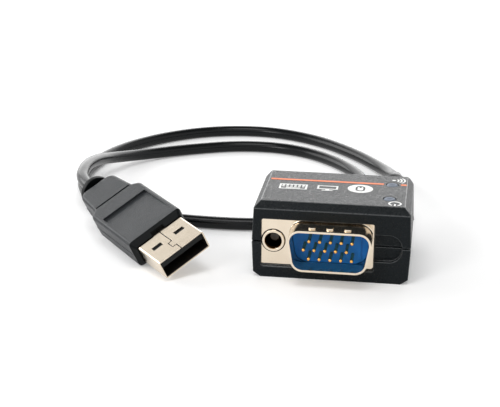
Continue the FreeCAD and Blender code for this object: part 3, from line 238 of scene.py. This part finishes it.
def mottled(tree, shader, grain, dark, light):
    """Base colour that drifts between two tones over patches of a size; gives the place it is read at."""
    place = add_node(tree, "ShaderNodeTexCoord").outputs["Object"]
    haze = add_node(tree, "ShaderNodeTexNoise", {"Vector": place, "Scale": 1 / grain, "Detail": 3.0})
    tone = add_node(tree, "ShaderNodeMix", {0: haze.outputs["Fac"], 6: colour(dark), 7: colour(light)},
                    data_type="RGBA")
    tree.links.new(tone.outputs[2], shader.inputs["Base Color"])
    return place


def grained(tree, shader, place, grain, depth):
    """Bump of a fine moulded texture, with its grain and its depth in metres."""
    pits = add_node(tree, "ShaderNodeTexNoise", {"Vector": place, "Scale": 1 / grain, "Detail": 2.0})
    bump = add_node(tree, "ShaderNodeBump", {"Height": pits.outputs["Fac"], "Distance": depth,
                    "Strength": 1.0})
    tree.links.new(bump.outputs["Normal"], shader.inputs["Normal"])


def worn(tree, shader, place, grain, smooth, rough):
    """Roughness that varies between two values over patches of a size, as handling polishes it."""
    patches = add_node(tree, "ShaderNodeTexNoise", {"Vector": place, "Scale": 1 / grain, "Detail": 4.0})
    spread = add_node(tree, "ShaderNodeMapRange", {"Value": patches.outputs["Fac"], "From Min": 0.3,
                      "From Max": 0.7, "To Min": smooth, "To Max": rough})
    tree.links.new(spread.outputs["Result"], shader.inputs["Roughness"])


# Plasticised PVC straight from the extruder: near black, with a wet-looking skin that waves a little.
black_pvc, tree, shader = new_material("extruded_black_pvc", IOR=1.54, Specular_IOR_Level=0.2)
place = mottled(tree, shader, 9 * MM, "#07090a", "#0d1012")
grained(tree, shader, place, 2.2 * MM, 0.015 * MM)
worn(tree, shader, place, 7 * MM, 0.2, 0.28)
cable_curve.materials.append(black_pvc)


# ---- housing ---------------------------------------------------------------------------------------------
# Two halves of a clamshell, injection moulded in black ABS. The mould is spark eroded, which leaves a fine
# even grain, and its edges come out slightly rounded.
MERGE_DISTANCE, FLAT_ANGLE = 0.0005 * MM, math.radians(0.3)


def new_piece(name, bm, material, beside):
    """A piece made from bm, which rides as the CAD node beside it does."""
    mesh = bpy.data.meshes.new(name)
    bm.to_mesh(mesh)
    bm.free()
    mesh.materials.append(material)
    piece = bpy.data.objects.new(name, mesh)
    bpy.context.scene.collection.objects.link(piece)
    bodies = frame["record"]["behaviour"]["bodies"]
    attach(piece, next(body for body, nodes in bodies.items() if beside in nodes))
    return piece


def softened(node, radius, material, steps=3, sharp=32, kept_sharp=None, moved=None, edge_material=None):
    """A copy of a CAD piece with every edge sharper than an angle rounded to a radius.

    kept_sharp says whether a point's edges stay sharp; the other roundings then keep their full radius.
    moved gives a point's small shift, for a form drawn a little stronger than its solid. edge_material is
    what the roundings are made of, where it differs.
    """
    bm = bmesh.new()
    bm.from_mesh(frame["nodes"][node].data)
    bmesh.ops.remove_doubles(bm, verts=bm.verts, dist=MERGE_DISTANCE)
    bmesh.ops.dissolve_limit(bm, angle_limit=FLAT_ANGLE, verts=bm.verts, edges=bm.edges,
                             use_dissolve_boundaries=False)
    if moved:
        for vert in bm.verts:
            vert.co += moved(vert.co)
    weight = bm.edges.layers.float.new("bevel_weight_edge")
    for edge in bm.edges:
        inner = kept_sharp and any(kept_sharp(vert.co) for vert in edge.verts)
        if edge.calc_face_angle(0.0) > math.radians(sharp) and not inner:
            edge[weight] = 1.0
    piece = new_piece(node + "_finish", bm, material, node)
    piece.data.shade_smooth()
    rounding = piece.modifiers.new("rounded_edges", "BEVEL")
    rounding.width = radius
    rounding.segments = steps
    rounding.limit_method = "WEIGHT"
    rounding.use_clamp_overlap = kept_sharp is None
    if edge_material:
        piece.data.materials.append(edge_material)
        rounding.material = 1
    # Flat faces shade flat, and the roundings carry the whole turn of the light.
    shading = piece.modifiers.new("flat_faces", "WEIGHTED_NORMAL")
    shading.weight = 100
    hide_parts(node)
    return piece


# Black ABS from a spark-eroded mould: satin, so a low light turns its flat faces grey. The real grain is
# near 0.05 mm; it is drawn at 0.32 mm, and its patches of sheen at 0.45 mm, so that it still shows.
black_abs, tree, shader = new_material("spark_eroded_black_abs", IOR=1.53, Specular_IOR_Level=0.15)
place = mottled(tree, shader, 6 * MM, "#040a0d", "#0a1216")
grained(tree, shader, place, 0.32 * MM, 0.20 * MM)
worn(tree, shader, place, 0.45 * MM, 0.22, 0.44)
# The housing's roundings have no grain and a glossier skin. Their lighter base colour is a painted highlight:
# the thin, broken line of light that the edges catch.
edge_highlight_abs, tree, shader = new_material("black_abs_painted_edge_highlight", IOR=1.53, Specular_IOR_Level=0.7)
place = mottled(tree, shader, 0.8 * MM, "#0c1215", "#1b2226")
worn(tree, shader, place, 0.5 * MM, 0.18, 0.5)
# Edges this near to the screw's axis belong to its channel.
CHANNEL_RADIUS = 4.0 * MM
screw_low, screw_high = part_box("jackscrew")
screw_axis = ((screw_low.x + screw_high.x) / 2, (screw_low.z + screw_high.z) / 2)


def near_screw(point):
    """Whether a point lies in the channel that the jackscrew slides in."""
    return math.dist((point.x, point.z), screw_axis) < CHANNEL_RADIUS


# Both halves take the painted edge highlight on their roundings.
for node in ("bottom_shell", "top_shell"):
    softened(node, 0.14 * MM, black_abs, kept_sharp=near_screw, edge_material=edge_highlight_abs)

# ---- printed marks on the housing --------------------------------------------------------------------------
# Pad-printed ink on the top face: an orange line, a power sign and an activity sign in white beside the two
# lamps, and three plain signs for keyboard, screen and mouse.
INK = 0.02 * MM
top_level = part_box("top_shell")[1].z


def drawn_out(bm, extruded, shift):
    """Moves what an extrusion made by a shift, and closes the form with its faces turned outwards."""
    raised = [item for item in extruded["geom"] if isinstance(item, bmesh.types.BMVert)]
    bmesh.ops.translate(bm, verts=raised, vec=shift)
    bmesh.ops.recalc_face_normals(bm, faces=bm.faces)


def ink_piece(name, bm, material, layer=0):
    """A flat figure drawn in bm at z = 0, made a thin film of ink on the housing's top, or on other ink."""
    bmesh.ops.translate(bm, verts=bm.verts, vec=(0, 0, top_level + layer * INK))
    drawn_out(bm, bmesh.ops.extrude_face_region(bm, geom=bm.faces[:]), (0, 0, INK))
    new_piece(name, bm, material, "top_shell")


def add_bar(bm, left, right, front, back):
    """A flat rectangle between four millimetre values."""
    made = bmesh.ops.create_grid(bm, x_segments=1, y_segments=1, size=0.5 * MM)
    bmesh.ops.scale(bm, verts=made["verts"], vec=(right - left, back - front, 1))
    middle = Vector(((left + right) / 2 * MM, (front + back) / 2 * MM, 0))
    bmesh.ops.translate(bm, verts=made["verts"], vec=middle)


# A disc is a ring whose hole is too small to see.
NO_HOLE = 0.0001


def add_ring(bm, x, y, outer, inner, start=0.0, sweep=360.0, steps=48):
    """A flat ring, or an arc of one, about a place in millimetres; its angles are in degrees."""
    ends = [bm.verts.new(((x + radius) * MM, y * MM, 0)) for radius in (inner, outer)]
    edge = bm.edges.new(ends)
    centre = (x * MM, y * MM, 0)
    bmesh.ops.rotate(bm, verts=ends, cent=centre, matrix=Matrix.Rotation(math.radians(start), 3, "Z"))
    bmesh.ops.spin(bm, geom=[edge, *ends], cent=centre, axis=(0, 0, 1), angle=math.radians(sweep),
                   steps=steps, use_merge=sweep == 360.0)


def add_frame(bm, left, right, front, back, line):
    """A flat rectangular frame of a line's width."""
    add_bar(bm, left, right, front, front + line)
    add_bar(bm, left, right, back - line, back)
    add_bar(bm, left, left + line, front + line, back - line)
    add_bar(bm, right - line, right, front + line, back - line)


# Solvent ink, thinner than a hair and matt: its edges stay crisp and its tone is slightly uneven.
orange_ink, tree, shader = new_material("orange_printing_ink", Roughness=0.5, Specular_IOR_Level=0.3)
mottled(tree, shader, 0.6 * MM, "#e66e38", "#ef824c")
white_ink, tree, shader = new_material("white_printing_ink", Roughness=0.5, Specular_IOR_Level=0.3)
mottled(tree, shader, 0.6 * MM, "#e6e7e4", "#f4f4f2")
black_ink, tree, shader = new_material("black_printing_ink", Roughness=0.5, Specular_IOR_Level=0.3)
mottled(tree, shader, 0.6 * MM, "#15191b", "#24282a")

# The line stops on both sides of the activity lamp.
LINE_FRONT, LINE_BACK = 4.1, 5.1
LONG_RUN, SHORT_RUN = (-15.0, 10.3), (14.1, 15.4)
bm = bmesh.new()
for left, right in (LONG_RUN, SHORT_RUN):
    add_bar(bm, left, right, LINE_FRONT, LINE_BACK)
ink_piece("orange_line", bm, orange_ink)

# The power sign is a ring with a gap, and a stroke that runs through the gap towards its middle.
POWER_X, POWER_Y, POWER_OUTER, POWER_INNER = 13.26, -8.4, 1.45, 1.05
POWER_START, POWER_SWEEP = -62, 304
STROKE_HALF, STROKE_END = 0.2, 0.25
bm = bmesh.new()
add_ring(bm, POWER_X, POWER_Y, POWER_OUTER, POWER_INNER, start=POWER_START, sweep=POWER_SWEEP)
add_bar(bm, POWER_X - STROKE_HALF, POWER_X + STROKE_HALF, POWER_Y - POWER_OUTER, POWER_Y - STROKE_END)
ink_piece("power_sign", bm, white_ink)

# The activity sign is a dot with three arcs that spread from it to the right.
ACTIVITY_X, ACTIVITY_Y, DOT_RADIUS = 12.45, 7.6, 0.42
ARC_RADII, ARC_HALF, ARC_SPREAD = (1.05, 1.75, 2.45), 0.18, 44
bm = bmesh.new()
add_ring(bm, ACTIVITY_X, ACTIVITY_Y, DOT_RADIUS, NO_HOLE, steps=24)
for radius in ARC_RADII:
    add_ring(bm, ACTIVITY_X, ACTIVITY_Y, radius + ARC_HALF, radius - ARC_HALF, start=-ARC_SPREAD,
             sweep=2 * ARC_SPREAD, steps=24)
ink_piece("activity_sign", bm, white_ink)

# The three signs stand in a row, upright for someone who faces the video plug.
SIGN_FRONT, SIGN_BACK = -2.0, 1.4
LINE = 0.42
KEYBOARD_LEFT, KEYBOARD_RIGHT = -12.6, -6.4
KEY, KEY_STEP, ROW_STEP, KEY_INSET, ROW_INSET = 0.55, 0.88, 0.85, 0.62, 1.1
SPACE_BAR_INSET, SPACE_BAR_FRONT, SPACE_BAR_BACK = 1.5, 0.65, 1.05
bm = bmesh.new()
add_frame(bm, KEYBOARD_LEFT, KEYBOARD_RIGHT, SIGN_FRONT, SIGN_BACK, LINE)
for row in range(2):
    for column in range(6):
        left = KEYBOARD_LEFT + KEY_INSET + column * KEY_STEP
        front = SIGN_BACK - ROW_INSET - row * ROW_STEP
        add_bar(bm, left, left + KEY, front, front + KEY)
add_bar(bm, KEYBOARD_LEFT + SPACE_BAR_INSET, KEYBOARD_RIGHT - SPACE_BAR_INSET,
        SIGN_FRONT + SPACE_BAR_FRONT, SIGN_FRONT + SPACE_BAR_BACK)
ink_piece("keyboard_sign", bm, white_ink)

SCREEN_LEFT, SCREEN_RIGHT = -4.2, 0.4
STAND_HEIGHT, NECK_HALF, FOOT_HALF = 0.95, 0.4, 1.2
screen_middle = (SCREEN_LEFT + SCREEN_RIGHT) / 2
bm = bmesh.new()
add_frame(bm, SCREEN_LEFT, SCREEN_RIGHT, SIGN_FRONT + STAND_HEIGHT, SIGN_BACK, LINE)
add_bar(bm, screen_middle - NECK_HALF, screen_middle + NECK_HALF, SIGN_FRONT + LINE, SIGN_FRONT + STAND_HEIGHT)
add_bar(bm, screen_middle - FOOT_HALF, screen_middle + FOOT_HALF, SIGN_FRONT, SIGN_FRONT + LINE)
ink_piece("screen_sign", bm, white_ink)

# The mouse sign is black on a white disc, with its wheel as a short line.
MOUSE_X, MOUSE_Y, MOUSE_RADIUS, MOUSE_HALF = 5.3, 0.5, 1.05, 1.7
DISC_RADIUS, WHEEL_END = 2.8, 1.15
bm = bmesh.new()
add_ring(bm, MOUSE_X, MOUSE_Y, DISC_RADIUS, NO_HOLE)
ink_piece("mouse_disc", bm, white_ink)
bm = bmesh.new()
arch = MOUSE_HALF - MOUSE_RADIUS
for y, start in ((MOUSE_Y + arch, 0), (MOUSE_Y - arch, 180)):
    add_ring(bm, MOUSE_X, y, MOUSE_RADIUS, MOUSE_RADIUS - LINE, start=start, sweep=180, steps=24)
for left in (MOUSE_X - MOUSE_RADIUS, MOUSE_X + MOUSE_RADIUS - LINE):
    add_bar(bm, left, left + LINE, MOUSE_Y - arch, MOUSE_Y + arch)
add_bar(bm, MOUSE_X - LINE / 2, MOUSE_X + LINE / 2,
        MOUSE_Y + MOUSE_HALF - WHEEL_END, MOUSE_Y + MOUSE_HALF - LINE)
ink_piece("mouse_sign", bm, black_ink, layer=1)

# ---- video plug's shells -----------------------------------------------------------------------------------
# The front shell is drawn from steel sheet and nickel plated, and the rear one is folded from the same
# sheet. Both keep the faint upright marks of the rolling mill, drawn at 0.35 mm where they are finer.
ROLLED_LONG = (1.0, 1.0, 0.08)
nickel, tree, shader = new_material("nickel_plated_steel", Metallic=1.0)
place = mottled(tree, shader, 3 * MM, "#dacbb6", "#e6d9c6")
rolling = add_node(tree, "ShaderNodeMapping", {"Vector": place, "Scale": ROLLED_LONG})
grained(tree, shader, rolling.outputs["Vector"], 0.35 * MM, 0.003 * MM)
worn(tree, shader, rolling.outputs["Vector"], 0.8 * MM, 0.1, 0.2)
softened("vga_front_shell", 0.12 * MM, nickel)
softened("vga_rear_shell", 0.08 * MM, nickel)

# ---- video plug's insulator and pins -------------------------------------------------------------------------
# The insulator is moulded in the blue polyester that marks a video plug: glossy, with a faint mould grain
# that is drawn at 0.3 mm and is finer on a real one. Its 15 turned pins are brass with a flash of gold.
blue_pbt, tree, shader = new_material("blue_pbt", Roughness=0.34, IOR=1.55, Specular_IOR_Level=0.2)
place = mottled(tree, shader, 2 * MM, "#0a6cc6", "#1478d2")
grained(tree, shader, place, 0.3 * MM, 0.006 * MM)
softened("vga_insulator", 0.1 * MM, blue_pbt)

# Gold flash over nickel: a clear yellow, brighter where the pins' round tips catch the light.
gold, tree, shader = new_material("gold_flashed_brass", Metallic=1.0, Roughness=0.22)
mottled(tree, shader, 1 * MM, "#e0a04c", "#f2c272")
for node in frame["nodes"]:
    if node.startswith("vga_pin_"):
        softened(node, 0.03 * MM, gold, steps=1)

# ---- jackscrew -----------------------------------------------------------------------------------------------
# A turned steel screw, blackened against rust, which leaves a dark brown-grey sheen. A snap ring holds it in
# the housing, its thread comes out through an eyelet in the flange, and a fluted nylon knob turns it.
black_oxide, tree, shader = new_material("black_oxide_steel", Metallic=0.9, Roughness=0.36)
mottled(tree, shader, 0.6 * MM, "#343230", "#4c4946")
for node in ("jackscrew", "screw_retainer"):
    softened(node, 0.05 * MM, black_oxide, steps=2)
# The eyelet's rim is rolled over a dark gap, and the brass it is made of shows in its bore.
eyelet_low, eyelet_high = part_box("screw_eyelet")
eyelet_middle = Vector(((eyelet_low.x + eyelet_high.x) / 2, 0, (eyelet_low.z + eyelet_high.z) / 2))
eyelet_radius = (eyelet_high.x - eyelet_low.x) / 2
brass, tree, shader = new_material("bare_brass", Metallic=1.0, Roughness=0.28)
mottled(tree, shader, 0.8 * MM, "#a8702c", "#c8904a")
eyelet_piece = softened("screw_eyelet", 0.06 * MM, nickel)
eyelet_piece.data.materials.append(brass)
FACING_AXIS = -0.5
for face in eyelet_piece.data.polygons:
    outwards = (face.center - eyelet_middle) * Vector((1, 0, 1))
    if face.normal.dot(outwards.normalized()) < FACING_AXIS:
        face.material_index = 1
# The shade in the gap is painted: a thin dark ring laid on the flange.
RIM_HEIGHT, GAP_WIDTH, GAP_DEPTH = 0.35 * MM, 0.2 * MM, 0.03 * MM
gap_shade, tree, shader = new_material("painted_gap_shadow", Roughness=0.7, Specular_IOR_Level=0.2)
mottled(tree, shader, 0.5 * MM, "#1a1511", "#2a221a")
bm = bmesh.new()
flange_level = eyelet_low.y + RIM_HEIGHT
gap_ends = [bm.verts.new(eyelet_middle + Vector((eyelet_radius + reach, flange_level, 0)))
            for reach in (0, GAP_WIDTH)]
gap_edge = bm.edges.new(gap_ends)
bmesh.ops.spin(bm, geom=[*gap_ends, gap_edge], cent=eyelet_middle, axis=(0, 1, 0), angle=math.radians(360),
               steps=48, use_merge=True)
drawn_out(bm, bmesh.ops.extrude_face_region(bm, geom=bm.faces[:]), (0, -GAP_DEPTH, 0))
new_piece("eyelet_gap_shadow", bm, gap_shade, "screw_eyelet")
# Nylon straight from a polished mould: black, with a soft sheen on the flutes.
black_nylon, tree, shader = new_material("moulded_black_nylon", Roughness=0.4, IOR=1.53,
                                         Specular_IOR_Level=0.2)
place = mottled(tree, shader, 3 * MM, "#0b0d0e", "#121416")
grained(tree, shader, place, 0.25 * MM, 0.012 * MM)
softened("jackscrew_knob", 0.1 * MM, black_nylon)

# ---- network jack ------------------------------------------------------------------------------------------
# A black moulding inside a folded, nickel-plated shield. Eight gold springs run along the roof of the mouth.
softened("rj45_housing", 0.1 * MM, black_nylon)
softened("rj45_shield", 0.06 * MM, nickel)
for node in frame["nodes"]:
    if node.startswith("rj45_contact_"):
        softened(node, 0.03 * MM, gold, steps=1)

# ---- boards, chips, lamps and light pipes --------------------------------------------------------------------
# Two glass-epoxy boards under green solder mask carry moulded chips and two lamps. Above each lamp a clear
# pipe of smoky polycarbonate brings its light up through the housing's top.
# Solder mask: a glossy green lacquer, a little cloudy over the copper.
solder_mask, tree, shader = new_material("green_solder_mask", Roughness=0.32, IOR=1.5)
mottled(tree, shader, 2 * MM, "#0c3a21", "#15502f")
for node in ("connector_board", "main_board"):
    softened(node, 0.05 * MM, solder_mask, steps=1)
for node in ("controller_chip", "driver_chip"):
    softened(node, 0.08 * MM, black_nylon, steps=2)
# The lamps' cases are white resin: pale and even, so that the pipes above them look lit from below.
lamp_resin, tree, shader = new_material("white_lamp_resin", Roughness=0.3)
mottled(tree, shader, 1 * MM, "#d8d8cc", "#e8e8de")
for node in ("power_led", "status_led"):
    softened(node, 0.1 * MM, lamp_resin, steps=2)
LENS_CORE, LENS_RADIUS, LENS_RISE, LENS_FACE = 0.45 * MM, 1.45 * MM, 0.14 * MM, 0.01 * MM
for node in ("power_light_pipe", "status_light_pipe"):
    # Smoky polycarbonate: dark blue-grey over the lamp, and paler towards the rim.
    smoky, tree, shader = new_material(node.replace("_light_pipe", "_smoky_polycarbonate"), Roughness=0.4,
                                       IOR=1.58, Specular_IOR_Level=0.06, Transmission_Weight=0.1)
    low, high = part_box(node)
    axis = ((low.x + high.x) / 2, (low.y + high.y) / 2, high.z)
    place = add_node(tree, "ShaderNodeTexCoord").outputs["Object"]
    reach = add_node(tree, "ShaderNodeVectorMath", {0: place, 1: axis}, operation="DISTANCE")
    rim = add_node(tree, "ShaderNodeMapRange", {"Value": reach.outputs["Value"], "From Min": LENS_CORE,
                   "From Max": LENS_RADIUS})
    tone = add_node(tree, "ShaderNodeMix", {0: rim.outputs["Result"], 6: colour("#3a4a60"),
                    7: colour("#8a929e")}, data_type="RGBA")
    tree.links.new(tone.outputs[2], shader.inputs["Base Color"])
    softened(node, 0.12 * MM, smoky,
             moved=lambda point: Vector((0, 0, LENS_RISE if point.z > high.z - LENS_FACE else 0)))

# ---- cable boot ----------------------------------------------------------------------------------------------
# Soft PVC moulded over the cable's end and snapped into the back wall. Its ribs let it bend. It is dull
# beside the cable, and its mould's grain of 0.1 mm is drawn at 0.3 mm.
soft_pvc, tree, shader = new_material("soft_black_pvc", Roughness=0.42, IOR=1.53, Specular_IOR_Level=0.07)
place = mottled(tree, shader, 4 * MM, "#07090a", "#0e1112")
grained(tree, shader, place, 0.3 * MM, 0.01 * MM)
softened("cable_boot", 0.15 * MM, soft_pvc)

# ---- USB plug ------------------------------------------------------------------------------------------------
# A folded steel shell round a flat tongue with four contacts, gripped by the nose of a black inner mould.
# The grey grip is moulded over that and leaves the strain relief free at its tail.
# The plug lies askew: its own frame has the mouth at its origin, the tail along Y and its flat top along Z.
PLUG_MOUTH = Vector((-31.2, -15.75, 5.55)) * MM
PLUG_TURN = (Matrix.Rotation(math.radians(40.1), 3, "Z") @ Matrix.Rotation(math.radians(2.75), 3, "X")
             @ Matrix.Rotation(math.radians(-27.4), 3, "Y"))


def in_plug(point):
    """A place of the model in the plug's own frame."""
    return PLUG_TURN.inverted() @ (point - PLUG_MOUTH)


# Nickel over a stamped strip: one even, warm sheen. Inside the mouth the same strip is painted dark and dull:
# painted shade, as no light reaches in there.
strip_nickel, tree, shader = new_material("nickel_plated_strip", Metallic=1.0)
place = mottled(tree, shader, 2 * MM, "#d8cab6", "#e4d8c6")
grained(tree, shader, place, 0.4 * MM, 0.001 * MM)
worn(tree, shader, place, 1.2 * MM, 0.13, 0.17)
mouth_shade_strip, tree, shader = new_material("strip_in_painted_shade", Metallic=0.6, Roughness=0.55)
mottled(tree, shader, 1 * MM, "#151413", "#221f1c")
# The slit where the strip's ends meet is 0.12 mm wide. It is drawn at 0.22 mm so that it still shows. It
# runs in steps: these are its edges' places across the plug and along it, in millimetres.
SLIT_LEFT, SLIT_NEAR, SLIT_FAR = (0.0, -1.0), (1.88, 3.98), (2.0, 4.1)
SLIT_REACH, SLIT_LEVEL, SLIT_OPENING = 1.3, 1.5, 0.05 * MM


def on_edge(value, edges):
    """Whether a value in millimetres lies on one of the slit's edges."""
    return any(abs(value - edge) < 0.01 for edge in edges)


def opened_slit(point):
    """The shift that moves a point of the slit's edges away from the slit."""
    spot = in_plug(point) / MM
    if abs(spot.x) > SLIT_REACH or spot.z < SLIT_LEVEL:
        return Vector()
    sideways = -1 if on_edge(spot.x, SLIT_LEFT) else 1
    lengthways = on_edge(spot.y, SLIT_FAR) - on_edge(spot.y, SLIT_NEAR)
    return PLUG_TURN @ Vector((sideways, lengthways, 0)) * SLIT_OPENING


usb_shell_piece = softened("usb_shell", 0.03 * MM, strip_nickel, steps=2, moved=opened_slit)
usb_shell_piece.data.materials.append(mouth_shade_strip)
# What faces neither outwards nor to the mouth is the strip's inner side, which takes the painted shade.
OUTER_SIDE, MOUTH_SIDE = 0.3, -0.7
for face in usb_shell_piece.data.polygons:
    middle = in_plug(face.center)
    outwards = Vector((middle.x, 0, middle.z)).normalized()
    facing = PLUG_TURN.inverted() @ face.normal
    if facing.dot(outwards) < OUTER_SIDE and facing.y > MOUTH_SIDE:
        face.material_index = 1
usb_mold_piece = softened("usb_inner_mold", 0.2 * MM, soft_pvc)
usb_tongue_piece = softened("usb_tongue", 0.08 * MM, black_nylon)
usb_contact_pieces = [softened(f"usb_contact_{n}", 0.02 * MM, gold, steps=1) for n in range(1, 5)]

# Grey-black PVC from a finely blasted mould: matt, with a grain of 0.1 mm drawn at 0.3 mm so that it shows.
grey_pvc, tree, shader = new_material("blasted_black_pvc", IOR=1.53, Specular_IOR_Level=0.25)
place = mottled(tree, shader, 0.4 * MM, "#1b1d1f", "#36393c")
grained(tree, shader, place, 0.3 * MM, 0.11 * MM)
worn(tree, shader, place, 1.5 * MM, 0.36, 0.44)
grip_up = PLUG_TURN @ Vector((0, 0, 1))
PANEL_LEVELS, PANEL_SINK = (3.05 * MM, 3.2 * MM), 0.2 * MM


def sunk_panel(point):
    """The thumb panel and the groove behind it lie a little deeper, so that their edges throw a shadow."""
    return -grip_up * (PANEL_SINK if PANEL_LEVELS[0] < in_plug(point).z < PANEL_LEVELS[1] else 0)


usb_grip_piece = softened("usb_grip", 0.25 * MM, grey_pvc, moved=sunk_panel)

# A fine flash line stands along the grip's sides, where the halves of its mould met. It is cut from the
# grip's middle plane, without the edges of the core and of the collar inside.
CORE_REACH, COLLAR_REACH, COLLAR_DEPTH = 3.9 * MM, 6.7 * MM, 12.9 * MM
FLASH_HEIGHT, FLASH_WIDTH = 0.18 * MM, 0.16 * MM
bm = bmesh.new()
bm.from_mesh(frame["nodes"]["usb_grip"].data)
bmesh.ops.remove_doubles(bm, verts=bm.verts, dist=MERGE_DISTANCE)
bmesh.ops.bisect_plane(bm, geom=[*bm.verts, *bm.edges, *bm.faces], plane_co=PLUG_MOUTH, plane_no=grip_up,
                       clear_inner=True, clear_outer=True)
inside = [vert for vert in bm.verts if abs(in_plug(vert.co).x) < (
    CORE_REACH if in_plug(vert.co).y > COLLAR_DEPTH else COLLAR_REACH)]
bmesh.ops.delete(bm, geom=inside, context="VERTS")
bmesh.ops.translate(bm, verts=bm.verts, vec=grip_up * -FLASH_HEIGHT / 2)
drawn_out(bm, bmesh.ops.extrude_edge_only(bm, edges=bm.edges[:]), grip_up * FLASH_HEIGHT)
usb_flash_piece = new_piece("usb_grip_flash", bm, grey_pvc, "usb_grip")
flash_depth = usb_flash_piece.modifiers.new("proud_of_the_grip", "SOLIDIFY")
flash_depth.thickness = FLASH_WIDTH
flash_depth.offset = 0
